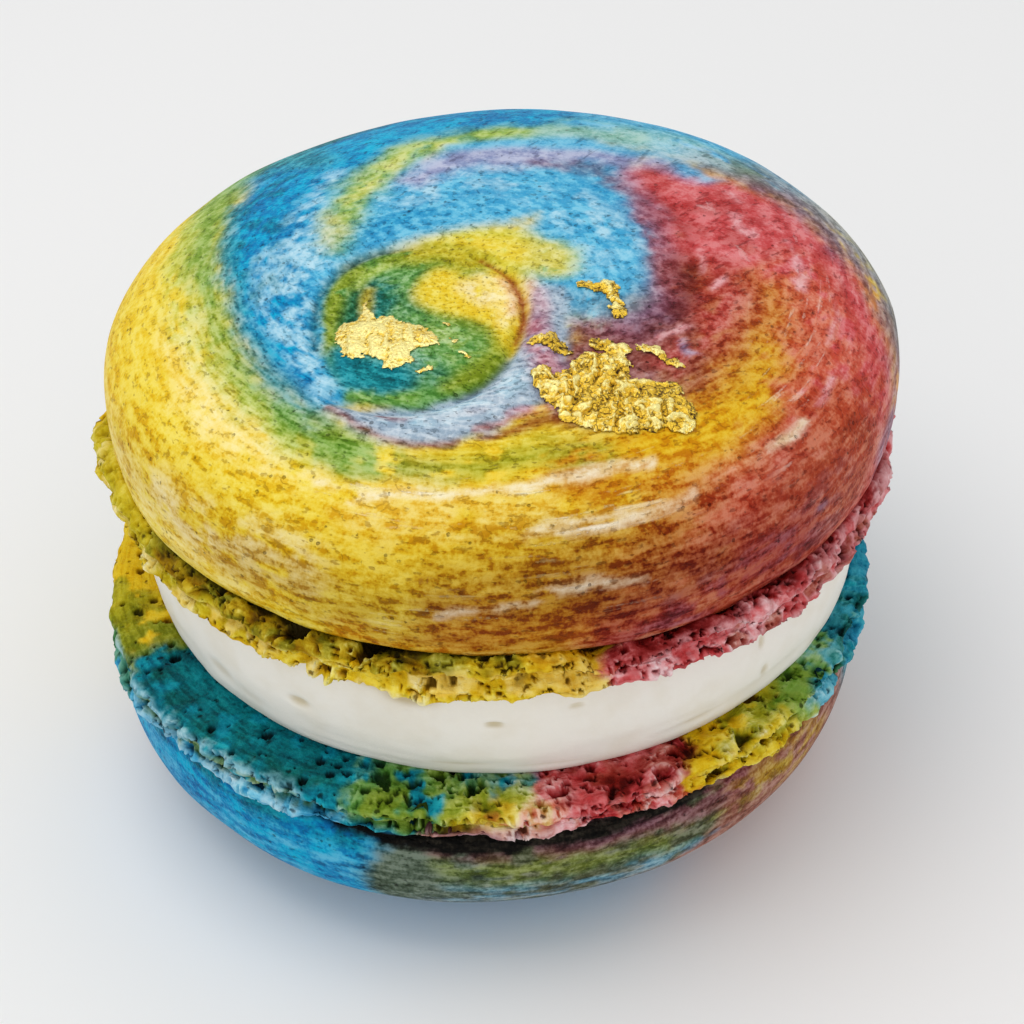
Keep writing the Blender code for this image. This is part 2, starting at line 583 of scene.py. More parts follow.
@dataclass(frozen=True)
class CrustFinish:
    """Baked marbled batter, on the smooth caps and on the porous feet.

    Attributes:
        name: The material's name.
        body: The pigment's usual thickness, where 1 is the colour as named.
        mottle: How much that changes from stain to stain.
        relief_shading: How much darker the pigment is painted in pits and paler on ridges: painted shade
            and painted light.
        specks: How dark the fine dashes are.
        pores: How dark the painted shade in the pin pores is.
        pore_size: Their radius as a share of their spacing.
        roughness: The crust's usual roughness.
        sheen: How much light it mirrors.
        grain_height: Height of the fine grain in metres.
    """

    name: str
    body: float = 1.0
    mottle: float = 0.62
    relief_shading: float = 0.4
    specks: float = 0.55
    pores: float = 0.6
    pore_size: float = 0.15
    roughness: float = 0.5
    sheen: float = 0.07
    grain_height: float = 0.00008

    BRUSHED = 0.5  # sizes of the stains along the brush strokes, in streaks
    BROAD = 2.4
    PATCH = 0.55 * MM  # and of those that lie any way
    FINE = 0.2 * MM
    SCRIBBLE = 0.36  # width of the dark dashes, in streaks
    HAIR = 0.75 * MM  # distance between hairline cracks
    PORE = 0.85 * MM  # distance between pin pores
    DRY = 0.7  # width of the pale streaks of a dry brush, in streaks
    THINNEST, THICKEST = 0.35, 3.2  # limits of the pigment's thickness
    SHADOW = (0.5, 0.45, 0.42)  # what dashes do to the batter's colour, and the colour of the painted shade in pin pores and pits
    PALE = 0.3  # the pigment's thickness in a dry streak

    def material(self) -> Material:
        """Makes the material.

        Returns:
            The material.
        """
        graph = Graph(self.name)
        place = graph.place()
        flow = graph.attribute(FLOW, "Vector")
        relief = graph.attribute(RELIEF, "Fac")
        glaze = graph.attribute(GLAZE, "Fac")
        toast = graph.attribute(TOAST, "Fac")
        batter = graph.attribute(BATTER, "Color")

        brushed = graph.noise(flow, self.BRUSHED, 3.0) - 0.5
        patch = graph.noise(place, self.PATCH, 3.0) - 0.5
        fine = graph.noise(place, self.FINE, 2.0) - 0.5
        broad = graph.noise(flow, self.BROAD, 1.0) - 0.5
        stain = brushed * 0.9 + patch * 0.5 + fine * 0.4 + broad * 0.3
        thick = graph.step(stain, -0.2, 0.2) + graph.step(stain, 0.02, 0.18) * toast
        # Thicker, darker pigment in pits and thinner, paler pigment on ridges: painted shade and painted
        # light.
        density = (thick - 0.5) * self.mottle + self.body - relief * self.relief_shading
        colour = graph.thicken(batter, graph.clamp(density, self.THINNEST, self.THICKEST))

        dark = graph.thicken(batter, 1.8) * self.SHADOW
        scribble = graph.noise(flow * (1.8, 1.8, 1.0), self.SCRIBBLE, 2.5) + stain * 0.1
        hair = graph.noise(place, self.HAIR, 1.5) - 0.5
        dash = graph.step(hair * hair, 0.0012, 0.0003) * graph.step(brushed + patch * 0.5, 0.08, 0.13)
        fleck = graph.clamp(graph.step(scribble, 0.6, 0.7) + dash * 0.7, 0.0, 1.0)
        sparse = graph.step(patch, -0.05, 0.1)
        hollow = graph.bubbles(place, self.PORE) + fine * 0.25
        pinhole = graph.step(hollow, self.pore_size, self.pore_size * 0.4) * sparse
        pit = graph.step(relief * -1.0, 0.2, 1.0)
        colour = graph.mix(fleck * self.specks, colour, dark)
        # Painted shade: the pin pores darken, and the pits of the relief darken more.
        colour = graph.mix(pinhole * self.pores, colour, dark * (0.5, 0.5, 0.5))
        colour = graph.mix(pit * 0.9, colour, dark * (0.4, 0.4, 0.4))

        dry_brush = graph.noise(flow * (0.6, 0.6, 1.6), self.DRY, 2.0)
        streak = graph.step(dry_brush + fine * 0.25, 0.62, 0.74) * glaze
        colour = graph.mix(streak, colour, graph.thicken(batter, self.PALE))

        height = fine * 0.8 + stain * 0.6 - pinhole * 1.2 - fleck * 0.4 + streak * 0.6
        graph.dress(
            {
                "Base Color": colour,
                "Roughness": fine * 0.4 + self.roughness,
                "Normal": graph.bump(height, self.grain_height),
                "Specular IOR Level": self.sheen,
            }
        )
        return graph.material


@dataclass(frozen=True)
class CreamFinish:
    """Smooth off-white cream.

    Attributes:
        tint: Its screen colour.
        cloud: The screen colour of its faint clouds.
        shade: The screen colour of the painted shade in its hollows, along its wrinkles and near its top
            under the upper shell.
    """

    tint: str = "f0ede4"
    cloud: str = "e8e2d3"
    shade: str = "c4b48c"

    CLOUDS = 3.0 * MM  # sizes of the clouds, of duller spots and of the grain
    DULL = 0.8 * MM
    GRAIN = 0.16 * MM
    GRAIN_HEIGHT = 0.00002  # in metres

    def material(self) -> Material:
        """Makes the material.

        Returns:
            The material.
        """
        graph = Graph("cream")
        place = graph.place()
        relief = graph.attribute(RELIEF, "Fac")
        cloud = graph.step(graph.noise(place, self.CLOUDS, 3.0), 0.42, 0.7, 0.6)
        # Painted shade where the relief is low.
        hollow = graph.step(relief * -1.0, 0.1, 1.0, 0.9)
        grain = graph.noise(place, self.GRAIN, 2.0)
        colour = graph.mix(cloud, linear(self.tint), linear(self.cloud))
        colour = graph.mix(hollow, colour, linear(self.shade))
        graph.dress(
            {
                "Base Color": colour,
                "Roughness": graph.noise(place, self.DULL, 2.0) * 0.2 + 0.42,
                "Normal": graph.bump(grain, self.GRAIN_HEIGHT),
                "Specular IOR Level": 0.35,
            }
        )
        return graph.material


@dataclass(frozen=True)
class LeafFinish:
    """Crumpled edible gold leaf.

    Attributes:
        tint: Its screen colour.
        painted_highlight: The screen colour of the painted highlights on its creases.
        deep: The screen colour of the painted shade between them and in its cracks.
    """

    tint: str = "f0c63a"
    painted_highlight: str = "fff09c"
    deep: str = "3a1e00"

    CRINKLE = 0.16 * MM  # sizes of the finest creases and of the cracks
    CRACK = 0.5 * MM
    CRINKLE_HEIGHT = 0.00012  # in metres

    def material(self) -> Material:
        """Makes the material.

        Returns:
            The material.
        """
        graph = Graph("gold_leaf")
        place = graph.place()
        relief = graph.attribute(RELIEF, "Fac")
        crinkle = graph.noise(place, self.CRINKLE, 3.0) - 0.5
        fold = relief + crinkle * 1.8
        # Painted highlights on the raised folds and painted shade in the low ones.
        colour = graph.mix(graph.step(fold, -0.1, 0.6), linear(self.tint), linear(self.painted_highlight))
        colour = graph.mix(graph.step(fold, -0.45, -1.0), colour, linear(self.deep))
        hair = graph.noise(place, self.CRACK, 3.0) - 0.5
        crack = graph.step(hair * hair, 0.0014, 0.0002) * graph.step(relief + crinkle, 0.4, 0.0)
        # Painted shade in thin cracks in the low folds.
        colour = graph.mix(crack * 0.75, colour, linear(self.deep))
        graph.dress(
            {
                "Base Color": colour,
                "Metallic": 0.6,
                "Roughness": crinkle * 0.4 + 0.32,
                "Normal": graph.bump(crinkle, self.CRINKLE_HEIGHT),
            }
        )
        return graph.material


@dataclass(frozen=True)
class FloorFinish:
    """Plain pale studio floor."""

    tint: tuple[float, float, float] = (0.86, 0.86, 0.86)

    def material(self) -> Material:
        """Makes the material."""
        graph = Graph("floor")
        graph.dress({"Base Color": self.tint, "Roughness": 0.9})
        return graph.material


# ---- Shapes


@dataclass(frozen=True)
class Profile:
    """A line in the half plane of radius and height, looked up by its length from its start.

    Attributes:
        points: Radius and height in mm, (count, 2).
    """

    points: Array

    GAP = 0.15  # distance over which the line's direction is measured, in mm

    @property
    def lengths(self) -> Array:
        """Length of the line up to each point."""
        steps = np.hypot(*np.diff(self.points, axis=0).T)
        return np.concatenate(([0.0], np.cumsum(steps)))

    @property
    def length(self) -> float:
        """The whole line's length."""
        return float(self.lengths[-1])

    def at(self, length: Array) -> tuple[Array, Array]:
        """Radius and height at a length from the start."""
        radius = np.interp(length, self.lengths, self.points[:, 0])
        height = np.interp(length, self.lengths, self.points[:, 1])
        return radius, height

    def normal(self, length: Array) -> tuple[Array, Array]:
        """Unit normal to the left of the line, which for a crown-to-rim line points outwards.

        Args:
            length: Lengths from the start.

        Returns:
            Its radial and upward parts.
        """
        r_before, z_before = self.at(length - self.GAP)
        r_after, z_after = self.at(length + self.GAP)
        across, down = r_after - r_before, z_after - z_before
        size = np.maximum(np.hypot(across, down), 1e-9)
        return -down / size, across / size


@dataclass(frozen=True)
class ShellSizes:
    """Driving sizes of one shell, in mm.

    Attributes:
        cap_radius: Radius at the cap's widest ring.
        foot_radius: Radius of the foot.
        flat_radius: Radius of the flat spot on the crown, or 0.
        dome_height: From the widest ring up to the crown.
        fullness: Exponent of the dome's superellipse.
        undercut: From the widest ring down to the crease.
        crease_inset: How far the crease lies inside the widest ring.
        curl: Exponent of the undercut's curl.
        lip: How far the cap's lip hangs below the crease.
        foot_height: From the crease to the inner face.
    """

    cap_radius: float
    foot_radius: float
    flat_radius: float = 0.0
    dome_height: float = 8.0
    fullness: float = 2.45
    undercut: float = 3.2
    crease_inset: float = 1.1
    curl: float = 1.2
    lip: float = 0.35
    foot_height: float = 2.6

    DOME_STEPS = 240
    CURL_STEPS = 60
    TUCK = ((0.25, 0.02), (0.8, 0.2), (2.4, 0.6))  # inwards and upwards past the crease, in mm

    @property
    def height(self) -> float:
        """Height of the whole shell."""
        return self.dome_height + self.undercut + self.foot_height

    @property
    def crease_radius(self) -> float:
        """Radius of the crease between cap and foot."""
        return self.cap_radius - self.crease_inset

    def cap_profile(self) -> Profile:
        """Crown to crease, and on into the shell.

        Returns:
            The line.
        """
        widest = self.height - self.dome_height
        turn = np.linspace(0.0, math.pi / 2, self.DOME_STEPS)
        radius = self.cap_radius * np.sin(turn) ** (2.0 / self.fullness)
        rise = self.dome_height * self._dome(radius)
        if self.flat_radius:
            crown = self.dome_height * float(self._dome(np.array(self.flat_radius)))
            rise = np.minimum(rise, crown) * self.dome_height / crown
        curl = np.linspace(0.0, math.pi / 2, self.CURL_STEPS)[1:]
        under_radius = self.cap_radius - self.crease_inset * (1.0 - np.cos(curl)) ** self.curl
        under_height = widest - (self.undercut + self.lip) * np.sin(curl)
        inwards, upwards = np.array(self.TUCK).T
        radii = np.concatenate((radius, under_radius, under_radius[-1] - inwards))
        heights = np.concatenate((widest + rise, under_height, under_height[-1] + upwards))
        return Profile(np.column_stack((radii, heights)))

    def _dome(self, radius: Array) -> Array:
        """The dome's height at a radius, as a share of its full height."""
        share = 1.0 - (radius / self.cap_radius) ** self.fullness
        return np.maximum(share, 0.0) ** (1.0 / self.fullness)


@dataclass(frozen=True)
class Seat:
    """Where a shell stands: its own frame has its inner face at z = 0 and its crown above.

    Attributes:
        centre: The inner face's centre in mm.
        tilt: Turn about X, in radians.
    """

    centre: tuple[float, float, float]
    tilt: float

    def world(self, local: Array) -> Array:
        """Places in the whole object in metres, from points in the shell's own frame in mm."""
        turn = np.array(Matrix.Rotation(self.tilt, 3, "X"))
        return (local @ turn.T + np.array(self.centre)) * MM


def unit_grid(columns: int, rows: int) -> tuple[Sheet, Array]:
    """A flat sheet of quads.

    Args:
        columns: How many quads wide it is.
        rows: How many quads deep.

    Returns:
        The sheet, and each vertex's place on it from 0 to 1 both ways.
    """
    bm = bmesh.new()
    bmesh.ops.create_grid(bm, x_segments=columns, y_segments=rows, size=0.5)
    flat = np.array([vert.co for vert in bm.verts])
    return bm, flat[:, :2] + 0.5


class Ring:
    """A sheet of quads spun round the axis, whose section closes its loop inside the object.

    For each vertex it keeps its azimuth in radians, its turn from the axis, its length along
    the section, its radius and height in mm, and how far it lies along the buried, closing rows.
    """

    def __init__(self, section: Profile, columns: int, rows: int, shown: float) -> None:
        """Makes the sheet and works out where its vertices lie.

        Args:
            section: The line that shows.
            columns: Quads round the ring.
            rows: Quads round the section.
            shown: Share of the rows that lie on the section.
        """
        self.section = section
        self.bm, unit = unit_grid(columns, rows)
        self.azimuth = (unit[:, 0] * 2.0 - 1.0) * math.pi
        self.turn = np.column_stack((np.cos(self.azimuth), np.sin(self.azimuth)))
        self.length = np.minimum(unit[:, 1] / shown, 1.0) * section.length
        self.buried = np.clip((unit[:, 1] - shown) / (1.0 - shown), 0.0, 1.0)
        start, end = section.points[0], section.points[-1]
        radius, height = section.at(self.length)
        self.radius = radius + (start[0] - end[0]) * self.buried
        self.height = height + (start[1] - end[1]) * self.buried

    def spin(self, across: Array, up: Array) -> Array:
        """Vectors with these parts away from the axis and along it."""
        return np.column_stack((self.turn * across[:, None], up))


def lay(bm: Sheet, places: Array, layers: dict[str, Array]) -> None:
    """Moves a sheet's vertices to their places and gives them their attributes.

    Args:
        bm: The sheet.
        places: Where each vertex goes, in metres.
        layers: Attribute values for each vertex, by name.
    """
    kinds = {
        BATTER: bm.verts.layers.float_color,
        FLOW: bm.verts.layers.float_vector,
        RELIEF: bm.verts.layers.float,
        GLAZE: bm.verts.layers.float,
        TOAST: bm.verts.layers.float,
    }
    for key in layers:
        kinds[key].new(key)
    for vert, place in zip(bm.verts, places.tolist()):
        vert.co = place
    for key, values in layers.items():
        layer = kinds[key].get(key)
        for vert, value in zip(bm.verts, values.tolist()):
            vert[layer] = value


def add_object(name: str, data: bpy.types.ID) -> Object:
    """A new object of the scene."""
    obj = bpy.data.objects.new(name, data)
    bpy.context.scene.collection.objects.link(obj)
    return obj


def add_mesh(name: str, bm: Sheet, material: Material) -> Object:
    """A new object of the scene from a finished sheet."""
    mesh = bpy.data.meshes.new(name)
    bm.to_mesh(mesh)
    bm.free()
    mesh.materials.append(material)
    return add_object(name, mesh)


@dataclass(frozen=True)
class Piece:
    """How a finished sheet joins the object.

    Attributes:
        name: The piece's name.
        slot: The record's material slot; it is not used.
        node: The solid that it replaces, or None.
    """

    name: str
    slot: str
    node: str | None = None

    def finish(self, bm: Sheet, material: Material) -> Object:
        """Closes the sheet's seams and makes it a piece of the object.

        Args:
            bm: The sheet.
            material: Its finish.

        Returns:
            The piece.
        """
        bmesh.ops.remove_doubles(bm, verts=bm.verts, dist=MERGE_DISTANCE)
        bmesh.ops.recalc_face_normals(bm, faces=bm.faces)
        obj = add_mesh(self.name, bm, material)
        obj.data.shade_smooth()
        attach(obj, ROOT)
        if self.node:
            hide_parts(self.node)
        LOG.info("%s: %d faces", self.name, len(obj.data.polygons))
        return obj


def opaque(colours: Array) -> Array:
    """Colours with an alpha of 1."""
    return np.column_stack((colours, np.ones(len(colours))))


def drift(grain: Grain, points: Array, wavelength: float, count: int) -> Array:
    """Several independent noises side by side.

    Args:
        grain: The noise.
        points: Places, (count, 3).
        wavelength: Distance between its hills.
        count: How many noises.

    Returns:
        Values, (points, count).
    """
    shifts = [31.0 + 26.0 * index for index in range(count)]
    return np.column_stack([grain.fractal(points + shift, wavelength, 3) for shift in shifts])


# ---- Caps


@dataclass
class Cap:
    """The smooth crust of one shell, from its crown into the crease.

    Attributes:
        piece: How it joins the object.
        sizes: The shell's sizes.
        seat: Where the shell stands.
        ground: The batter under all strokes.
        strokes: The strokes on it.
        glazed: Where fine pale streaks show.
        toasted: Where the oven stained it.
        furrows: Grooves and ridges in it.
        eye: Centre of the piped swirl on the unrolled crown in mm.
        ring: Whether the strokes are placed by azimuth and length from the crown.
        turned: Whether the shell lies on its back, so that azimuths run the other way.
        seed: Chooses its unevenness.
        cells: How many quads the cap is wide.
    """

    piece: Piece
    sizes: ShellSizes
    seat: Seat
    ground: Pigment
    strokes: Sequence[Stroke]
    glazed: Sequence[Stroke] = ()
    toasted: Sequence[Stroke] = ()
    furrows: Sequence[Furrow] = ()
    eye: tuple[float, float] = (0.0, 0.0)
    ring: bool = False
    turned: bool = False
    seed: int = 1
    cells: int = 310

    SWIRL = 6.0  # inside this many mm of the eye, the flow has no direction
    STREAK = 0.9  # width of a streak of flow in mm
    CIRCLES = (7.0, 20.0)  # where the flow leaves the eye, and where it circles the crown, in mm
    WAVES = (0.16, 9.0)  # height and length of its slow waves, in mm
    BRUSHED = (0.035, 1.3)  # height of the brush marks in mm, and their width in streaks
    LAYERS = (0.12, 1.4)  # height and size of the thin layers at its rim, in mm
    FLAKY = (26.6, 28.8)  # from where to where they set in, in mm from the crown
    FLAT_EDGE = 3.0  # width over which the flat spot goes over into the dome, in mm
    CALM = (6.0, 12.0)  # the strokes' edges are tidy up to the first distance from the eye, in mm
    RING_START = 23.0  # inside this many mm of the crown, a ring's strokes wind
    TWIST = math.radians(7.0)  # how far, for each mm towards the crown

    def __post_init__(self) -> None:
        """Works out its profile and noise."""
        self.profile = self.sizes.cap_profile()
        self.grain = Grain(self.seed)
        self.way = -1.0 if self.turned else 1.0

    def flow(self, plan: Array) -> Array:
        """Place along and across the brushed strokes, which wind round the eye."""
        reach = np.linalg.norm(plan, axis=1)
        centre = np.array(self.eye) * (1.0 - smoothstep(*self.CIRCLES, reach))[:, None]
        out = plan - centre
        distance = np.linalg.norm(out, axis=1)
        swirl = out / np.maximum(distance, self.SWIRL)[:, None] * self.SWIRL
        beyond = np.maximum(distance - self.SWIRL, 0.0)
        return np.column_stack((swirl, beyond)) / self.STREAK

    def surface(self, plan: Array) -> tuple[Array, Array, Array, Array]:
        """The crust over places on the unrolled crown.

        Args:
            plan: Places in mm, (count, 2).

        Returns:
            The plain profile's points, the crust's points, its normals, and its relief.
        """
        length = np.linalg.norm(plan, axis=1)
        turn = plan / np.maximum(length, 1e-9)[:, None]
        radius, height = self.profile.at(length)
        out, up = self.profile.normal(length)
        on_axis = length < 1e-6
        out[on_axis], up[on_axis] = 0.0, 1.0
        base = np.column_stack((turn * radius[:, None], height))
        normal = np.column_stack((turn * out[:, None], up))

        flow = self.flow(plan)
        spot = self.sizes.flat_radius
        fade = smoothstep(spot, spot + self.FLAT_EDGE, length) if spot else np.ones(len(length))
        rim = smoothstep(*self.FLAKY, length)
        brushed = self.grain.fractal(flow, self.BRUSHED[1], 2)
        layer = self.grain.fractal(base * (0.4, 0.4, 2.4), self.LAYERS[1], 3)
        lift = self.WAVES[0] * self.grain.fractal(base, self.WAVES[1], 2)
        lift += self.BRUSHED[0] * brushed
        lift += self.LAYERS[0] * layer * rim
        # The crust's finish paints this relief: light on raised layers and brush marks, shade where they
        # sink.
        relief = 0.3 * layer * rim + 0.25 * brushed
        for furrow in self.furrows:
            share = smoothstep(-furrow.softness, furrow.softness, furrow.inside(plan))
            lift += furrow.height * share
            # Painted shade in grooves and painted light on ridges.
            relief += np.sign(furrow.height) * 0.5 * share
        local = base + normal * (lift * fade)[:, None]
        return base, local, normal, relief

    def build(self, material: Material) -> Object:
        """Makes the piece.

        Args:
            material: Its finish.

        Returns:
            The piece.
        """
        bm, _ = unit_grid(self.cells, self.cells)
        rim = [edge for edge in bm.edges if edge.is_boundary]
        skirt = bmesh.ops.extrude_edge_only(bm, edges=rim)["geom"]
        hub = [item for item in skirt if isinstance(item, bmesh.types.BMVert)]
        bmesh.ops.pointmerge(bm, verts=hub, merge_co=(0.0, 0.0, -1.0))
        flat = np.array([vert.co for vert in bm.verts])
        closing = flat[:, 2] < -0.5

        plan = spread(flat[:, :2] * 2.0) * self.profile.length
        base, local, _, relief = self.surface(plan)
        local[closing] = (0.0, 0.0, base[:, 2].min() + 1.0)
        canvas = self.canvas(plan, base)
        canvas.fill(self.ground)
        canvas.paint(self.strokes)
        layers = {
            BATTER: opaque(canvas.colours),
            FLOW: self.flow(plan),
            RELIEF: relief,
            GLAZE: canvas.mask(self.glazed),
            TOAST: canvas.mask(self.toasted),
        }
        lay(bm, self.seat.world(local), layers)
        return self.piece.finish(bm, material)

    def canvas(self, plan: Array, base: Array) -> Canvas:
        """The surface that its strokes are painted on.

        Args:
            plan: Each vertex's place on the unrolled crown in mm.
            base: Its place on the plain profile in mm.

        Returns:
            The unpainted surface.
        """
        flow = self.flow(plan)
        off_eye = np.linalg.norm(plan - np.array(self.eye), axis=1)
        calm = 0.25 + 0.75 * smoothstep(*self.CALM, off_eye)
        warp = drift(self.grain, base, 2.6, 2) * 0.55 * calm[:, None]
        stray = 0.5 * self.grain.fractal(flow, 0.5, 3) + 0.3 * self.grain.fractal(base, 0.7, 3)
        stray = stray * calm
        streaky = self.grain.fractal(flow + 5.0, 0.55, 3)
        patchy = self.grain.fractal(base + 5.0, 1.1, 3)
        patches = 0.5 + 0.55 * streaky + 0.45 * patchy
        if not self.ring:
            return Canvas(plan + warp, stray, patches)
        length = np.linalg.norm(plan, axis=1)
        twist = self.TWIST * np.maximum(self.RING_START - length, 0.0)
        angle = np.arctan2(plan[:, 1], plan[:, 0]) * self.way - twist
        around_ring = np.column_stack((angle * self.sizes.cap_radius, length)) + warp
        unit = (math.radians(self.sizes.cap_radius), 1.0)
        return Canvas(around_ring, stray, patches, unit, math.tau * self.sizes.cap_radius)


def spread(square: Array) -> Array:
    """Spreads a square from -1 to 1 evenly over the unit disc."""
    x, y = square.T
    wide = np.abs(x) > np.abs(y)
    reach = np.where(wide, x, y)
    safe = np.where(np.abs(reach) < 1e-12, 1e-12, reach)
    turn = np.where(wide, math.pi / 4 * y / safe, math.pi / 2 - math.pi / 4 * x / safe)
    return np.column_stack((reach * np.cos(turn), reach * np.sin(turn)))


# ---- Feet


@dataclass(frozen=True)
class Crumb:
    """How torn and bubbly a foot is, by azimuth in degrees.

    Attributes:
        foam: How deep the bubbles of its wall are, as a share.
        open_face: How deep the bubbles of its inner face are, as a share.
        gap: How far the crease gapes, in mm.
        reach: How much wider the foot is than its plain ring, in mm.
    """

    foam: Curve
    open_face: Curve
    gap: Curve
    reach: Curve


@dataclass
class Foot:
    """The ruffled, porous foot of one shell.

    Attributes:
        piece: How it joins the object.
        sizes: The shell's sizes.
        seat: Where the shell stands.
        ground: The batter under all strokes.
        strokes: Colours by azimuth in degrees and by zone: 0 in the crease, 1 on the skirt's
            nose, 2 in the valley, 3 on the rim, 4 at the edge of the inner face, 5 under the cream.
        crumb: How torn it is.
        turned: Whether the shell lies on its back, so that azimuths run the other way.
        valley: Depth of the valley between skirt and rim, in mm.
        seed: Chooses its unevenness.
        columns: Quads round the ring.
        rows: Quads round the section.
    """

    piece: Piece
    sizes: ShellSizes
    seat: Seat
    ground: Pigment
    strokes: Sequence[Stroke]
    crumb: Crumb
    turned: bool = False
    valley: float = 0.5
    seed: int = 1
    columns: int = 1200
    rows: int = 80

    SHOWN = 0.94  # share of the section's loop that isn't buried in the shell
    TOASTED = 0.3  # how strongly the oven stained it
    FLOW_ROUND = 6.0  # streaks of flow from the axis, and the width of one across the foot in mm
    FLOW_ACROSS = 0.7
    MARKS = (2, 5, 7, 9, 11, 13)  # points of the section at the zones 0 to 5
    BUBBLES = (  # spacing, depth and share of them that broke open
        (1.9, 0.75, 0.4),
        (1.15, 0.55, 0.5),
        (0.7, 0.38, 0.6),
        (0.45, 0.22, 0.6),
    )
    PINHOLES = ((1.15, 0.75), (0.62, 0.75))  # spacing and share
    LUMPS = (0.55, 1.9)  # height and size of its lumps, in mm
    STRANDS = (0.16, 0.9)  # and of the strands between its bubbles
    FACE = (0.16, 2.2)  # and of the inner face's waves
    GRAIN = (0.06, 0.6)  # and of its grain
    SCALLOPS = (2.6, 1.7, 2.2)  # lengths of the rim's, the skirt's and the hanging scallops, in mm

    def section(self) -> Profile:
        """Out of the crease, over skirt, valley and rim, and inwards under the cream."""
        crease, wall, top = self.sizes.crease_radius, self.sizes.foot_radius, self.sizes.foot_height
        points = [
            (crease - 2.6, top - 0.40),
            (crease - 1.0, top - 0.36),
            (crease + 0.1, top - 0.16),
            (wall - 0.65, top - 0.16),
            (wall - 0.25, top - 0.42),
            (wall, top - 0.80),
            (wall - self.valley * 0.6, top - 1.15),
            (wall - self.valley, top - 1.42),
            (wall - self.valley * 0.5, 0.85),
            (wall + 0.05, 0.50),
            (wall - 0.08, 0.20),
            (wall - 0.45, 0.02),
            (wall - 1.20, -0.02),
            (wall - 2.30, 0.0),
            (wall - 4.20, 0.0),
        ]
        return Profile(np.array(points))

    def build(self, material: Material) -> Object:
        """Makes the piece.

        Args:
            material: Its finish.

        Returns:
            The piece.
        """
        profile = self.section()
        ring = Ring(profile, self.columns, self.rows, self.SHOWN)
        marks = profile.lengths[list(self.MARKS)]
        zone = np.interp(ring.length, marks, np.arange(len(marks)))
        degrees = np.degrees(ring.azimuth) * (-1.0 if self.turned else 1.0)
        gap = around(degrees, self.crumb.gap) * smoothstep(1.9, 0.5, zone)
        reach = around(degrees, self.crumb.reach) * smoothstep(0.0, 1.0, zone)
        reach = reach * smoothstep(5.0, 3.6, zone)
        base = ring.spin(ring.radius + reach - 0.35 * gap, ring.height - gap)
        normal = ring.spin(*profile.normal(ring.length))
        grain = Grain(self.seed)
        lift, relief = self.torn(grain, base, zone, degrees)
        shown = ring.buried <= 0
        local = base + normal * (lift * shown)[:, None]
        local += self.ruffle(grain, base, ring.turn, zone) * shown[:, None]

        canvas = self.canvas(grain, base, degrees, zone)
        canvas.fill(self.ground)
        canvas.paint(self.strokes)
        layers = {
            BATTER: opaque(canvas.colours),
            FLOW: ring.spin(np.full(len(base), self.FLOW_ROUND), ring.length / self.FLOW_ACROSS),
            RELIEF: np.clip(relief, -1.0, 1.0),
            GLAZE: np.zeros(len(base)),
            TOAST: np.full(len(base), self.TOASTED),
        }
        lay(ring.bm, self.seat.world(local), layers)
        return self.piece.finish(ring.bm, material)

    def ruffle(self, grain: Grain, base: Array, turn: Array, zone: Array) -> Array:
        """Slow scallops of the wall.

        Args:
            grain: Noise.
            base: The smooth foot's points in mm.
            turn: Their directions from the axis.
            zone: Their zones.

        Returns:
            How far each point moves, in mm.
        """
        skirt = smoothstep(0.2, 1.0, zone) * smoothstep(2.2, 1.4, zone)
        rim = smoothstep(1.8, 2.8, zone) * smoothstep(4.6, 3.6, zone)
        ring = base * (1.0, 1.0, 0.15)
        on_rim, on_skirt, hanging = self.SCALLOPS
        out = grain.fractal(ring + 7.0, on_rim, 3) * 0.4 * rim
        out += grain.fractal(ring + 47.0, on_skirt, 3) * 0.42 * skirt
        drop = grain.fractal(ring + 91.0, hanging, 3) * 0.3 * np.maximum(rim * 0.7, skirt)
        return np.column_stack((turn * out[:, None], drop))

    def torn(
        self, grain: Grain, base: Array, zone: Array, degrees: Array
    ) -> tuple[Array, Array]:
        """Lumps, bubbles and pinholes of the crumb.

        Args:
            grain: Noise.
            base: The smooth foot's points in mm.
            zone: Their zones.
            degrees: Their azimuths.

        Returns:
            How far each point rises in mm, and its relief attribute.
        """
        wall = smoothstep(-0.4, 0.4, zone) * smoothstep(4.3, 3.3, zone)
        face = smoothstep(3.2, 4.0, zone) * smoothstep(6.0, 5.4, zone)
        foam = around(degrees, self.crumb.foam) * wall
        foam = np.maximum(foam, around(degrees, self.crumb.open_face) * face)
        lumps = grain.fractal(base * (1.0, 1.0, 1.3), self.LUMPS[1], 3)
        strand = 0.5 - 2.0 * np.abs(grain.fractal(base + 15.0, self.STRANDS[1], 2))
        lift = self.LUMPS[0] * lumps * (0.25 * wall + 0.75 * foam) + self.STRANDS[0] * strand * foam
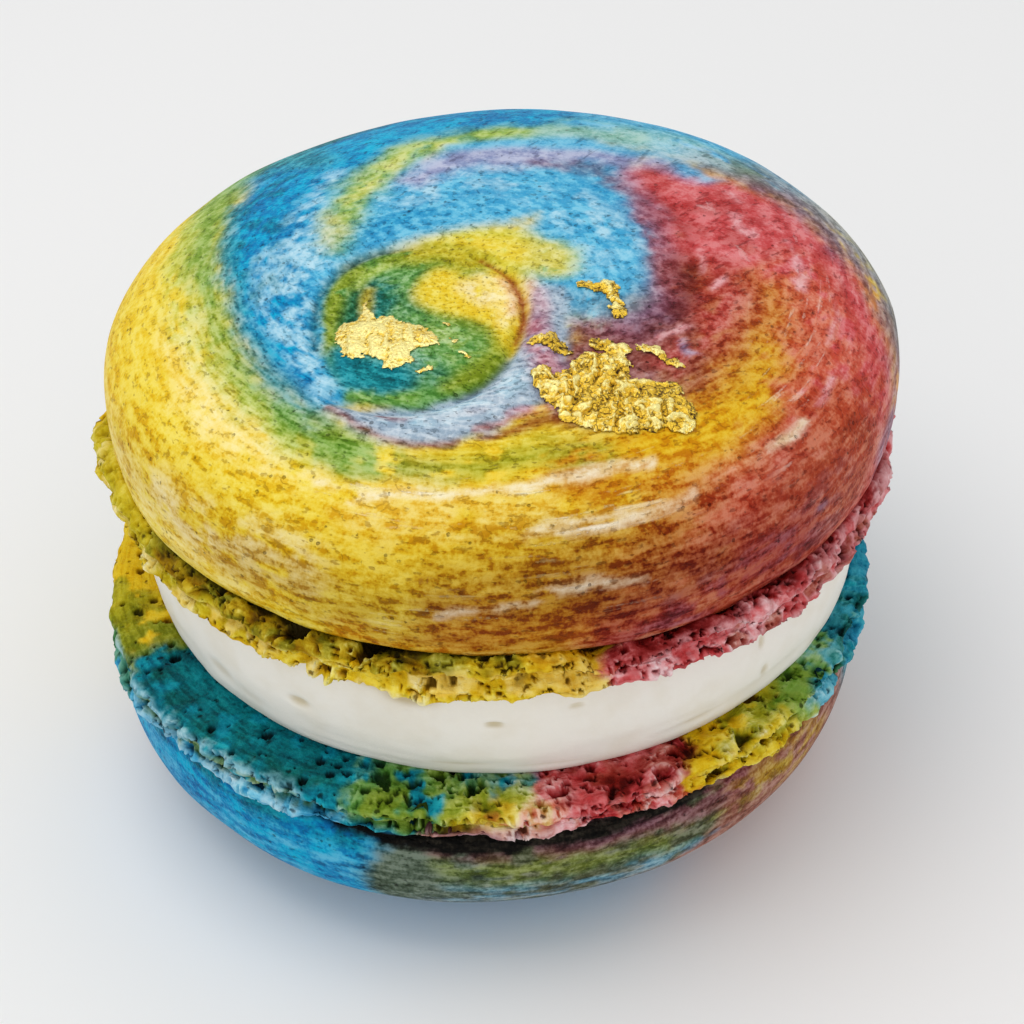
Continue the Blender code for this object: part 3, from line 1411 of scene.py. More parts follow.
        # The crumb's finish paints this relief: light on lumps, strands and bubble rims, shade in hollows,
        # bubbles and pinholes.
        relief = 1.1 * lumps * (0.35 + 0.65 * foam) + 0.45 * strand * foam
        warped = (base + 0.45 * drift(grain, base, 1.0, 3)) * (1.0, 1.0, 1.35)
        for spacing, depth, share in self.BUBBLES:
            nearest, token = grain.cells(warped + spacing * 9.0, spacing)
            radius = 0.16 + 0.2 * token
            open_ones = token > 1.0 - share
            hole = self.bowl(nearest / radius) * open_ones * np.minimum(foam * 1.3, 1.2)
            rim = smoothstep(1.5, 1.05, nearest / radius) * (nearest > radius) * open_ones
            lift += (0.12 * rim * foam - hole) * depth
            relief += 0.35 * rim * foam - 1.7 * hole * (0.5 + 0.5 * depth)
        plain = np.maximum(face, 0.6 * wall) * np.clip(1.0 - foam, 0.0, 1.0)
        for spacing, share in self.PINHOLES:
            nearest, token = grain.cells(base + 3.0 * spacing, spacing)
            radius = spacing * (0.14 + 0.15 * token)
            pin = self.bowl(nearest / radius) * (token > 1.0 - share)
            lift -= 0.5 * spacing * pin * plain
            relief -= 1.8 * pin * plain
        lift += self.FACE[0] * grain.fractal(base + 33.0, self.FACE[1], 3) * face
        # Painted shade in the crease.
        relief -= 0.9 * smoothstep(0.5, -0.2, zone)
        lift += self.GRAIN[0] * grain.fractal(base + 60.0, self.GRAIN[1], 2) * np.maximum(wall, face)
        return lift, relief

    @staticmethod
    def bowl(share: Array) -> Array:
        """Depth of a round hole, from 1 in its middle to 0 at its edge and beyond."""
        return np.sqrt(np.maximum(1.0 - share**2, 0.0))

    def canvas(self, grain: Grain, base: Array, degrees: Array, zone: Array) -> Canvas:
        """The surface that its strokes are painted on.

        Args:
            grain: Noise.
            base: The smooth foot's points in mm.
            degrees: Their azimuths.
            zone: Their zones.

        Returns:
            The unpainted surface.
        """
        ring = self.sizes.foot_radius
        places = np.column_stack((np.radians(degrees) * ring, zone))
        warp = drift(grain, base, 3.2, 2) * (2.6, 0.5) + drift(grain, base, 1.0, 2) * (0.8, 0.3)
        stray = 0.35 * grain.fractal(base, 0.7, 3)
        patches = 0.5 + 0.9 * grain.fractal(base + 5.0, 1.0, 3)
        unit = (math.radians(ring), 1.0)
        return Canvas(places + warp, stray, patches, unit, math.tau * ring)


# ---- Filling


@dataclass(frozen=True)
class Dent:
    """A shallow hollow or fold in the cream's side.

    Attributes:
        azimuth: In degrees.
        level: Height as a share of the cream's.
        width: Half width in mm.
        height: Half height in mm.
        depth: In mm; it is negative for a fold that stands out.
    """

    azimuth: float
    level: float
    width: float
    height: float
    depth: float


@dataclass
class Filling:
    """The thick disc of cream, with shallow dents and wrinkles at its foot.

    Attributes:
        piece: How it joins the object.
        low: The solid's lowest corner in mm.
        high: Its highest corner.
        tilt: Turn of its top about X, in radians.
        dents: Hollows in its side.
        bulge: How far its side swells, in mm.
        sunk: How far it reaches into both shells, in mm.
        seed: Chooses its unevenness.
        columns: Quads round the ring.
        rows: Quads down the section.
    """

    piece: Piece
    low: Vector
    high: Vector
    tilt: float
    dents: Sequence[Dent]
    bulge: float = 0.38
    sunk: float = 0.45
    seed: int = 5
    columns: int = 900
    rows: int = 90

    SHOWN = 0.95  # share of the section's loop that isn't buried in the shells
    ROUNDING = 0.8  # of its two edges, in mm
    TURN_STEPS = 12
    COVERED = 5.0  # how far it reaches in between the shells, in mm
    SIDE = (2.5, 0.5)  # from where to where its side starts, in mm from its rim
    WAVES = (0.14, 6.0)  # height and length of its waves, in mm
    KNIFE = (0.035, 1.6)  # and of the palette knife's marks
    WRINKLE = 0.12  # depth of the wrinkles at its foot, in mm

    def section(self, radius: float, bottom: float, top: float) -> Profile:
        """From the top, down the side and in again, in mm."""
        arc = np.linspace(0.0, math.pi / 2, self.TURN_STEPS)
        inset = self.ROUNDING
        shoulder = np.column_stack(
            (radius - inset + inset * np.sin(arc), top - inset + inset * np.cos(arc))
        )
        heel = np.column_stack(
            (radius - inset + inset * np.cos(arc), bottom + inset - inset * np.sin(arc))
        )
        start, end = (radius - self.COVERED, top), (radius - self.COVERED, bottom)
        return Profile(np.vstack((start, shoulder, heel, end)))

    def build(self, material: Material) -> Object:
        """Makes the piece.

        Args:
            material: Its finish.

        Returns:
            The piece.
        """
        centre = np.array((self.low + self.high) / 2)[:2]
        size = self.high - self.low
        plain = (size.x + size.y) / 4 - self.bulge
        rise = size.y / 2 * abs(math.tan(self.tilt))
        bottom, top = self.low.z - self.sunk, self.high.z - rise + self.sunk
        ring = Ring(self.section(plain, bottom, top), self.columns, self.rows, self.SHOWN)
        level = (ring.height - bottom) / (top - bottom)
        inner, outer = self.SIDE
        side = smoothstep(plain - inner, plain - outer, ring.radius)
        swell = self.bulge * np.sin(math.pi * np.clip(level, 0.0, 1.0)) * side
        base = ring.spin(ring.radius + swell, ring.height)
        lift, relief = self.worked(base, ring.azimuth * plain, level, top - bottom)
        normal = ring.spin(*ring.section.normal(ring.length))
        local = base + normal * (lift * side * (ring.buried <= 0))[:, None]
        local[:, 2] += math.tan(self.tilt) * local[:, 1] * np.clip(level, 0.0, 1.0)
        local[:, :2] += centre
        lay(ring.bm, local * MM, {RELIEF: relief})
        return self.piece.finish(ring.bm, material)

    def worked(
        self, base: Array, arc: Array, level: Array, height: float
    ) -> tuple[Array, Array]:
        """Waves, dents and wrinkles of the cream's side.

        Args:
            base: The smooth side's points in mm.
            arc: Their distances round the ring in mm.
            level: Their heights as a share.
            height: The cream's height in mm.

        Returns:
            How far each point rises in mm, and its relief attribute.
        """
        grain = Grain(self.seed)
        lift = self.WAVES[0] * grain.fractal(base * (1.0, 1.0, 0.6), self.WAVES[1], 2)
        lift += self.KNIFE[0] * grain.fractal(base * (1.0, 1.0, 1.6), self.KNIFE[1], 2)
        relief = np.zeros(len(base))
        ring = math.tau * (arc.max() / math.pi)
        for dent in self.dents:
            place = math.radians(dent.azimuth) * ring / math.tau
            across = ((arc - place + ring / 2) % ring - ring / 2) / dent.width
            down = (level - dent.level) * height / dent.height
            bowl = np.exp(-(across**2 + down**2) ** 1.5)
            lift -= dent.depth * bowl
            # Dents lower the relief, which the cream's finish paints as shade.
            relief -= 5.0 * max(dent.depth, 0.0) * bowl
        wave = grain.smooth(base * (0.2, 0.2, 2.6) + 9.0, 1.0)
        wrinkle = np.abs(wave) * smoothstep(0.36, 0.16, level) * smoothstep(0.02, 0.1, level)
        lift -= self.WRINKLE * wrinkle
        # Wrinkles lower it too: painted shade along them.
        relief -= 0.5 * wrinkle * grain.smooth(base * (0.3, 0.3, 1.0), 2.0) ** 2 * 3.0
        # Darker towards the top: painted shade under the upper shell.
        relief -= 0.3 * smoothstep(0.86, 1.0, level)
        return lift, np.clip(relief, -1.0, 1.0)


# ---- Gold leaf


@dataclass
class GoldLeaf:
    """Crumpled flakes of edible gold, stuck to the upper cap.

    Attributes:
        piece: How it joins the object.
        cap: The cap that carries it.
        flakes: Outlines on the unrolled crown.
        spacing: Size of its quads in mm.
        crumple: How high its creases stand, in mm.
        thickness: In mm.
        seed: Chooses its creases.
    """

    piece: Piece
    cap: Cap
    flakes: Sequence[Route]
    spacing: float = 0.065
    crumple: float = 0.55
    thickness: float = 0.03
    seed: int = 21

    MARGIN = 0.5  # spare sheet round the flakes, in mm
    FOLDS = (1.1, 0.5)  # sizes of its large and small folds, in mm
    TEARS = ((0.42, 0.75, 4), (0.2, 0.26, 2))  # depth, size and octaves of the torn edge
    PRESSED = (0.5, -0.5)  # to the left of this, the flakes are pressed flatter, in mm

    def build(self, material: Material) -> Object:
        """Makes the piece.

        Args:
            material: Its finish.

        Returns:
            The piece.
        """
        grain = Grain(self.seed)
        keys = np.vstack([flake.keys for flake in self.flakes])
        low = (keys[:, :2] - keys[:, 2:]).min(axis=0) - self.MARGIN
        size = (keys[:, :2] + keys[:, 2:]).max(axis=0) + self.MARGIN - low
        columns, rows = (int(side / self.spacing) for side in size)
        bm, unit = unit_grid(columns, rows)
        plan = low + unit * size
        outside = self.edge(grain, plan) < 0.0
        spare = [vert for vert, gone in zip(bm.verts, outside) if gone]
        bmesh.ops.delete(bm, geom=spare, context="VERTS")
        loose = [vert for vert in bm.verts if not vert.link_faces]
        bmesh.ops.delete(bm, geom=loose, context="VERTS")
        plan = low + (np.array([vert.co for vert in bm.verts])[:, :2] + 0.5) * size

        _, crust, normal, _ = self.cap.surface(plan)
        edge = self.edge(grain, plan)
        flat = np.column_stack((plan, np.zeros(len(plan))))
        bent = flat + 0.35 * drift(grain, flat, 0.8, 3)
        crease = self.folded(1.2 * grain.smooth(bent, self.FOLDS[0]))
        fine = self.folded(1.1 * grain.smooth(bent + 17.0, self.FOLDS[1]))
        pressed = smoothstep(*self.PRESSED, plan[:, 0])
        fold = (0.55 * crease + 0.45 * fine) * (1.0 - 0.55 * pressed) + 0.4 * pressed
        rise = 0.06 + self.crumple * (0.5 + 0.5 * fold) * (1.0 - 0.6 * pressed)
        rise *= 0.35 + 0.65 * smoothstep(0.0, 0.9, edge)
        local = crust + normal * rise[:, None]
        local[:, :2] += 0.14 * drift(grain, flat + 5.0, 0.5, 2)
        # Its folds go to the relief, which the leaf's finish paints as highlights and shade.
        lay(bm, self.cap.seat.world(local), {RELIEF: np.clip(fold, -1.0, 1.0)})
        bmesh.ops.recalc_face_normals(bm, faces=bm.faces)
        bmesh.ops.solidify(bm, geom=bm.faces[:], thickness=self.thickness * MM)
        return self.piece.finish(bm, material)

    @staticmethod
    def folded(value: Array) -> Array:
        """Flat facets with sharp folds between them, from -1 to 1."""
        return 4.0 * np.abs(value % 1.0 - 0.5) - 1.0

    def edge(self, grain: Grain, plan: Array) -> Array:
        """How deep each place lies inside the torn outline, in mm."""
        flat = np.column_stack((plan, np.zeros(len(plan))))
        (deep, wide, many), (fine, narrow, few) = self.TEARS
        torn = deep * grain.fractal(flat, wide, many) + fine * grain.fractal(flat + 9.0, narrow, few)
        depth = np.max([flake.inside(plan) for flake in self.flakes], axis=0)
        return depth + torn


# ---- How this macaron was piped, brushed and baked

P = Pigment

# On the crown, places are millimetres from its middle: to the right, and towards the back.
CROWN_STROKES = (
    # Broad fields
    Stroke(((-12, 11, 3), (-7, 17, 6), (3, 20, 7), (12, 16, 5.5), (18, 11, 3)), P.SKY, 2),
    Stroke(((-14, 13, 2.5), (-9, 16, 4), (-4, 18, 4), (3, 17.5, 3)), P.AZURE, 1.8),
    Stroke(((-9, 1, 2.5), (-4, 6, 5), (2, 8, 6), (6, 5, 4.5), (6, -1, 4.5), (5.5, -5, 3)), P.SKY, 1.2),
    Stroke(((-10.5, 7, 2.6), (-11.2, 0, 2.5), (-10.8, -6, 2.3), (-9, -11.5, 1.6)), P.SKY, 0.8),
    Stroke(((8.5, 3, 1), (9.8, -1, 1.6), (9.6, -6, 2.4), (7.5, -10, 3), (4.5, -13, 2.5)), P.MAUVE, 0.9),
    Stroke(((19, 20, 4), (25, 12, 4), (29, 2, 4), (28.5, -8, 3.6), (25, -15, 3)), P.ROSE, 2, 0.95),
    Stroke(((20, 19, 3), (25.5, 11, 3), (29, 1, 3), (28, -9, 2.6)), P.MAUVE, 1.8, 0.65, 0.1),
    Stroke(((26, 8, 2), (28.5, -2, 2), (26.5, -10, 2)), P.WINE, 1.5, 0.5, 0.4),
    Stroke(((10, 7.5, 2.2), (14, 3, 5), (16.5, -4, 6.5), (18, -12, 7), (15.5, -20, 7), (9, -27, 4)),
           P.ROSE, 1.8),
    Stroke(((10.5, -3, 1.6), (11.5, -8, 2), (10, -11, 2)), P.RUST, 1.4),
    Stroke(((-8, -21, 2), (0, -20.8, 3.2), (7, -18.5, 3), (11, -15, 3)), P.GOLDEN, 2.5, 0.6),
    Stroke(((-3, -27, 2.5), (4, -25.5, 3), (9.5, -22, 2.5)), P.AMBER, 2, 0.9),
    # Front and left: cream, ochre and toasted patches over the lemon
    Stroke(((-17.4, 1, 0.8), (-17.4, -6, 1.6), (-14.6, -11.6, 2), (-10, -16, 1.6), (-4, -19, 0.9)),
           P.BUTTER, 1.6, 0.75, 0.36),
    Stroke(((-26, -2, 1.6), (-24, -12, 1.8), (-19, -19, 2), (-12, -23.5, 1.4)), P.BUTTER, 1.8, 0.65, 0.45),
    Stroke(((-21, -14, 0.8), (-17.5, -18.6, 1.2), (-12, -21.8, 1)), P.IVORY, 1.6, 0.5, 0.35),
    Stroke(((-16.4, -8.5, 0.8), (-14.9, -12, 1.1), (-12.4, -14.8, 0.8)), P.BUTTER, 1.2, 0.7, 0.1),
    Stroke(((-24, -9, 1.6), (-21, -14, 2), (-16, -20, 2.6), (-8, -24, 2.8), (2, -24.4, 2.4)),
           P.OCHRE, 2.4, 0.35),
    Stroke(((-17.5, -20, 1.2), (-13.5, -22.6, 1.6), (-9, -25, 1.2)), P.OCHRE, 1.2, 0.5, 0.3),
    Stroke(((-8, -19.9, 1), (-3, -20.9, 1.1), (2, -20.9, 0.9)), P.BUTTER, 1, 0.35, 0.3),
    Stroke(((-12, -25, 1.2), (-8, -26, 1.8), (-2, -25.8, 2.6), (6, -24, 3), (11, -21, 2)),
           P.UMBER, 2.2, 0.4),
    Stroke(((-4, -25.6, 1.2), (2, -24.8, 1.5), (8, -22.8, 1.4)), P.UMBER, 1.2, 0.35, 0.45),
    Stroke(((-5, -27.8, 1.2), (2, -27.2, 1.6), (8, -25.4, 2), (13, -22.4, 1.5)), P.UMBER, 2, 0.35),
    Stroke(((-12, -26.6, 0.8), (-7, -28.4, 1.2), (0, -28.8, 1.6), (7, -27.8, 1.6), (13, -25.4, 1.4)),
           P.AMBER, 1.4, 0.55, 0.1),
    Stroke(((-9, -27.4, 0.6), (-4, -28.4, 0.8), (3, -28.6, 0.9)), P.UMBER, 1, 0.35, 0.35),
    # Red side
    Stroke(((9.6, 8, 1), (12, 4, 1.8), (12.8, -1, 2), (15, -3, 1.6), (17.5, 0, 1.6)),
           P.BRICK, 1.6, 0.45, 0.45),
    Stroke(((17, -2, 2), (18, -8, 3), (17, -13, 2.5)), P.CORAL, 2, 0.85, 0.3),
    Stroke(((14, 3, 4), (17, -4, 5), (19, -12, 5), (16, -19, 5)), P.CHERRY, 1.6, 0.2, 0.6),
    Stroke(((21, -14, 4), (17, -20, 4.5), (12, -24.5, 3.6), (7, -28, 2.4)), P.RUST, 2.4, 0.9),
    Stroke(((22, -10, 2.5), (18, -17, 2.5), (12, -22, 2)), P.CORAL, 1.5, 0.6, 0.5),
    Stroke(((18, -21, 2.8), (12, -25.5, 2.8), (7, -28.5, 1.8)), P.CHERRY, 2, 0.8, 0.35),
    Stroke(((20, -17, 3), (16, -22, 3), (11, -27, 2.4)), P.PLUM, 1.6, 0.35, 0.6),
    Stroke(((12, -22.4, 1.2), (9, -24.2, 1.6), (5, -26, 1.2)), P.UMBER, 1.2, 0.35, 0.2),
    Stroke(((15, -4, 1), (14.8, -8, 1.5), (13, -12.5, 2), (9.4, -16.3, 2), (4, -18.6, 1.6)),
           P.AMBER, 1.6, 0.85),
    Stroke(((14.4, -9, 0.8), (13, -12.6, 1.5), (10.6, -15.4, 1.5), (6, -17.6, 1)),
           P.GOLDEN, 1.2, 0.75, 0.2),
    Stroke(((13.6, -4, 1.2), (12.6, -9, 1.6), (10.6, -12, 1.4)), P.RUST, 1.3, 0.6, 0.3),
    # Right rim
    Stroke(((13, 11.5, 1.2), (18, 8, 1.8), (21.8, 2.4, 1.8), (24.8, -4, 1.6), (25.8, -10, 1.4)),
           P.MAUVE, 1.6, 0.8, 0.25),
    Stroke(((13.5, 10, 1), (17.5, 7, 1.4), (20, 3.5, 1.2), (22, -2, 1)), P.PLUM, 1.5, 0.65, 0.5),
    Stroke(((17, 12, 1.6), (20.8, 7, 1.7), (24, 1.5, 1.5), (26.5, -3, 1.2)), P.SLATE, 1.5, 0.8),
    # Back: blues, teal and the green and yellow arc
    Stroke(((-15, 14.5, 1.4), (-11.5, 16.4, 1.8), (-6, 22, 2.5)), P.TEAL, 1.4, 0.8, 0.2),
    Stroke(((-12, 14, 1.2), (-10, 17, 1)), P.PINE, 1.2, 0.6),
    Stroke(((-2, 16, 2), (-8, 14, 3.2), (-12.3, 8, 3), (-13.4, 2, 2.7), (-12.8, -4, 2.2), (-11.6, -9, 1.4),
            (-10, -12, 0.8)), P.AZURE, 1),
    Stroke(((-9.2, 9, 1), (-10.4, 5, 1.2), (-11, -1, 1.6), (-10.9, -7, 1.4), (-9.4, -12, 0.9)),
           P.PALE_SKY, 0.8, 0.75, 0.5),
    Stroke(((-13, 0.5, 0.7), (-13, -2.5, 1), (-12.2, -6, 0.8)), P.PALE_SKY, 1, 0.5, 0.35),
    Stroke(((-15.5, 15.5, 1.2), (-12.4, 14.2, 1.4), (-10.8, 12, 0.8)), P.FERN, 1.4, 0.35),
    Stroke(((-15.5, 15, 1.2), (-12.2, 14.4, 1.5), (-10.6, 12.4, 0.8)), P.LAGOON, 1.4, 0.6),
    Stroke(((-13, 11, 2), (-14, 4, 1.6), (-13.6, -3, 1.2)), P.TEAL, 1, 0.5, 0.62),
    Stroke(((-16, 16, 1.6), (-17.2, 10, 1.6), (-17.2, 3, 1.3), (-16, -4.5, 0.8), (-13.8, -10.5, 0.8),
            (-11, -14, 1), (-8, -16.4, 1)), P.LEAF, 1.3, 0.9),
    Stroke(((-15.4, 8, 0.6), (-15.3, 2, 0.5), (-15, -2, 0.5), (-13.8, -7, 0.6), (-11.8, -11.6, 0.7),
            (-9.6, -14, 0.6)), P.LAGOON, 0.9, 0.75),
    Stroke(((-18.8, 9, 0.8), (-18.9, 1, 0.7), (-17.2, -6, 0.5), (-14, -11.4, 0.4), (-11.5, -15, 0.5)),
           P.SPRING, 1.1, 0.6, 0.35),
    Stroke(((-8.9, 0.5, 0.6), (-8.6, 4, 1.3), (-7.4, 8, 1.6), (-4.8, 11.4, 1.5), (-1, 13.4, 1.3),
            (4, 14, 1), (9, 13.2, 0.8)), P.LEAF, 1.1, 0.8),
    Stroke(((-8.4, 3.5, 0.6), (-7.8, 6.5, 0.8), (-5.8, 10.2, 0.9), (-2.6, 12.7, 0.8), (2, 13.9, 0.6)),
           P.SPRING, 0.9, 0.8, 0.35),
    Stroke(((-8.2, 5.5, 0.5), (-6.6, 9, 0.6), (-3.6, 12, 0.5)), P.BUTTER, 0.9, 0.4, 0.55),
    Stroke(((-9.6, 0.8, 0.4), (-9.6, 3.5, 0.6), (-8.8, 2, 0.5)), P.BUTTER, 1, 0.5),
    Stroke(((5, 15.5, 1), (11, 13.6, 1.4), (15.5, 10.6, 1.2)), P.LEAF, 1.6, 0.4, 0.35),
    Stroke(((4, 13.6, 1), (9, 13.4, 1.4), (13.5, 11, 1.2)), P.PALE_SKY, 1.4, 0.4),
    Stroke(((-6, 21, 3), (3, 23, 3), (12, 19.5, 2.5)), P.LAGOON, 2, 0.6, 0.5),
    # Centre: blue round the yellow lobe
    Stroke(((-6.5, 1.8, 0.8), (-4.5, 4, 1.2), (-1, 6.6, 1.3), (3, 6.8, 1.3), (6.4, 4, 1.2), (7.6, 0, 1)),
           P.AZURE, 1.2, 0.75, 0.5),
    Stroke(((-5, 5.5, 1.5), (0, 7.5, 1.5), (4, 4, 2), (6.5, 0, 1.8), (6, -4, 1.4)),
           P.PALE_SKY, 1, 0.6, 0.58),
    Stroke(((-4.4, 7.4, 0.9), (-1.8, 9.8, 1.2), (2.5, 9.8, 1.5), (6.5, 9.9, 1), (10.5, 9.4, 0.8),
            (12.4, 7.5, 0.4)), P.LILAC, 1, 0.9),
    Stroke(((-2.5, 11.4, 0.5), (1.5, 11.6, 0.6), (6, 11.3, 0.6), (10, 10.5, 0.5), (13, 8, 0.4)),
           P.SKY, 0.8, 0.8),
    Stroke(((2.5, 8.8, 0.5), (5.2, 8.2, 0.7), (7.6, 6, 0.5), (8.8, 3, 0.4), (9.4, -1, 0.7), (9.8, -5, 1),
            (9.2, -8, 1.2)), P.WINE, 0.8, 0.6, 0.2),
    Stroke(((2.4, -9, 1.2), (4.5, -9.4, 1.5), (7, -9.4, 1.5), (9.4, -8.6, 1.3)), P.COCOA, 0.8, 0.7, 0.15),
    Stroke(((3, -8.2, 0.6), (5, -8.3, 0.8), (7.6, -8.6, 0.8)), P.WINE, 0.7, 0.7, 0.2),
    Stroke(((3.2, -11.5, 1.6), (6, -12, 2.4), (9.8, -10.6, 1.6)), P.COCOA, 1.2, 0.8, 0.15),
    Stroke(((2.4, -7.9, 0.5), (4.5, -7.7, 0.6), (7.5, -7.9, 0.5)), P.MAUVE, 0.8, 0.6, 0.45),
    Stroke(((9, -11, 0.7), (11.5, -8, 1), (12.3, -5, 0.9)), P.ROSE, 1, 0.5, 0.4),
    Stroke(((3.5, -5.2, 1), (5.4, -4.8, 1.3), (6.8, -4.2, 1.1), (7.2, -2, 1)), P.SKY, 0.9, 0.8, 0.15),
    Stroke(((2.8, -5.6, 0.8), (4.4, -6.2, 0.9), (6.6, -6.4, 0.9), (7.6, -5.4, 0.6)),
           P.SLATE, 0.8, 0.75, 0.2),
    Stroke(((2.6, -5.4, 0.7), (4, -6, 0.7), (6, -6.2, 0.6)), P.SKY, 0.6, 0.6, 0.45),
    Stroke(((-3.4, 0.2, 0.4), (-1.6, 0.3, 1), (0, -0.2, 1.5), (1.5, -1.1, 1.9), (2.9, -1.9, 1.7),
            (3.5, -2.8, 1.1)), P.SPRING, 0.8, 0.75, 0, 0.8),
    Stroke(((-3.2, 0.1, 0.3), (-1.4, 0.1, 0.8), (0, -0.3, 1.2), (1.5, -1, 1.6), (2.7, -1.8, 1.4),
            (3.3, -2.7, 0.9)), P.LEMON, 0.7, 0.6, 0.15, 0.6),
    Stroke(((-2.8, 0, 0.5), (-0.6, -0.2, 0.7), (1, -1.2, 0.8)), P.LEMON, 0.7, 0.6, 0.3),
    # Lilac tail, from beside the eye round under it to its tip
    Stroke(((-8.4, -13.7, 0.4), (-5.2, -14.2, 0.9), (-1.8, -13.4, 1.1), (0.4, -11.4, 1)), P.MIST, 0.4),
    Stroke(((2.9, -5.6, 1), (2.7, -8.2, 1.1), (2.2, -10.2, 1.3), (1.2, -12.4, 1.6), (-0.4, -14.1, 1.6),
            (-2.2, -15, 1.4), (-4.2, -15.2, 1.2), (-6.2, -15, 1), (-7.8, -14.2, 0.7), (-9.3, -13.1, 0.2)),
           P.MIST, 0.4, 1, 0, 0.5),
    Stroke(((1.9, -4.4, 0.4), (2.3, -6.2, 0.7), (2.1, -8, 0.6)), P.BLUSH, 0.5, 0.5),
    Stroke(((2.1, -7.4, 0.7), (2.2, -9.4, 0.9), (2.5, -11.4, 1), (2.8, -13.2, 0.9)),
           P.MAUVE, 0.6, 0.75, 0.1),
    Stroke(((1.9, -7.8, 0.4), (2, -9.6, 0.6), (2.4, -11.6, 0.6)), P.ROSE, 0.6, 0.45, 0.3),
    Stroke(((-6, -14.6, 0.5), (-2, -14.4, 0.8), (0.6, -12.4, 0.7)), P.PALE_SKY, 0.5, 0.5, 0.5),
    Stroke(((-9.4, -13, 0.12), (-8.3, -14.2, 0.14), (-7, -15.4, 0.14), (-5.6, -16.1, 0.16),
            (-3.9, -16.4, 0.14), (-2.3, -16.4, 0.12)), P.COCOA, 0.2, 0.9, 0, 0.25),
    Stroke(((-1.2, -16.3, 0.14), (0.4, -16, 0.28), (1.9, -15.6, 0.45), (3.4, -15.3, 0.5)),
           P.CHERRY, 0.3, 0.75, 0, 0.3),
    Stroke(((-1.5, -15.9, 0.1), (-0.3, -15.5, 0.16), (1.2, -15.1, 0.2), (2.4, -14.8, 0.2)),
           P.RUST, 0.2, 0.75, 0, 0.3),
    Stroke(((0.2, -14.9, 0.1), (1.6, -14.5, 0.2), (2.6, -14.4, 0.2)), P.ROSE, 0.25, 0.6, 0, 0.3),
    Stroke(((-6.7, -14.2, 0.12), (-5.9, -14.6, 0.16), (-5.2, -14.8, 0.1)), P.CHERRY, 0.2, 0.7, 0, 0.3),
    Stroke(((-4, -14.6, 0.1), (-2.5, -14.9, 0.14), (-1, -14.7, 0.1)), P.WINE, 0.3, 0.4, 0, 0.3),
    Stroke(((-10.3, -14, 0.6), (-8, -16.6, 0.8), (-4, -17.9, 0.8), (0.5, -17.7, 0.7), (5, -17.4, 0.8)),
           P.OLIVE, 0.9, 0.75, 0.3),
    Stroke(((-11.6, -12.6, 0.6), (-9.8, -15.2, 0.8), (-6.5, -17.3, 0.7)), P.LEAF, 0.9, 0.8, 0.35),
    # The eye: the last dab of batter, green and teal with a yellow lobe
    Stroke(((-4.9, -5.3, 4.9), (-4.5, -8.6, 5.1)), P.FERN, 0.3, 1, 0, 0.4),
    Stroke(((-5.4, -4.2, 1), (-4.8, -5.4, 1), (-4.6, -7, 0.8)), P.PINE, 0.7, 0.5, 0.4),
    Stroke(((-9.4, -8.8, 0.35), (-9.3, -6.2, 0.55), (-8.9, -3.8, 0.65), (-7.9, -2.1, 0.7)),
           P.OLIVE, 0.5, 0.85, 0.15),
    Stroke(((-6.2, -1.4, 0.5), (-4.6, -1.2, 1), (-2.8, -1.1, 1.2), (-1.4, -2, 1.1)),
           P.OLIVE, 0.6, 0.9, 0.1),
    Stroke(((-4.4, -0.8, 0.5), (-2.8, -0.7, 0.8), (-1.4, -1.8, 0.9)), P.MUSTARD, 0.8, 0.55, 0.15),
    Stroke(((-7.4, -3.8, 0.7), (-6.9, -5, 1.5), (-7.6, -6.8, 1.3)), P.PINE, 0.5, 0.95),
    Stroke(((-6.6, -3.6, 0.6), (-6.4, -5.2, 0.7), (-7.2, -7, 0.8)), P.TEAL, 0.6, 0.5, 0.3),
    Stroke(((-8.8, -9.2, 0.6), (-7.8, -10.9, 1.3), (-5.9, -11.6, 1.2)), P.LAGOON, 0.7, 0.95),
    Stroke(((-7.6, -10.4, 0.8), (-6.4, -11.8, 0.9), (-5, -11.8, 0.7)), P.TEAL, 0.7, 0.7),
    Stroke(((-5.6, -10.2, 0.8), (-4.2, -11, 0.8), (-3.4, -11.8, 0.6)), P.TEAL, 0.8, 0.6, 0.3),
    Stroke(((-8.3, -12.5, 0.2), (-6.4, -13.1, 0.4), (-4.2, -13.3, 0.45), (-2.4, -12.7, 0.4)),
           P.FERN, 0.3, 0.9),
    Stroke(((-8.2, -12.3, 0.25), (-6.4, -12.8, 0.35), (-4.6, -13.1, 0.3)), P.LEAF, 0.3, 0.8, 0.3),
    Stroke(((0.1, -9, 0.5), (-0.3, -10.4, 0.7), (-1.4, -11.7, 0.7), (-2.8, -12.6, 0.4)),
           P.OLIVE, 0.6, 0.9, 0.1),
    Stroke(((-3.4, -8.4, 0.8), (-2.2, -9.4, 0.9), (-1.6, -10.6, 0.7)), P.SPRING, 0.8, 0.35, 0.4),
    Stroke(((-3, -3.4, 1), (-3, -4.8, 1.6), (-1.8, -5.2, 1.9), (-0.7, -6, 1.5), (0, -7.6, 0.8),
            (0.3, -9.4, 0.35)), P.MUSTARD, 0.6, 0.95, 0, 0.6),
    Stroke(((-2.6, -4.2, 0.8), (-1.6, -5, 1.2), (-0.8, -6, 1)), P.LEMON, 0.8, 0.8),
    Stroke(((-0.9, -3.4, 0.4), (0.1, -4.6, 0.7), (0.4, -6.2, 0.6), (0.2, -7.6, 0.35)),
           P.BUTTER, 0.5, 0.9, 0, 0.4),
    Stroke(((0.3, -3.8, 0.3), (0.8, -5.2, 0.35), (0.7, -6.8, 0.25)), P.BLUSH, 0.4, 0.45),
    Stroke(((-1.6, -4.4, 0.5), (-0.8, -5.4, 0.6)), P.IVORY, 0.7, 0.5, 0.2),
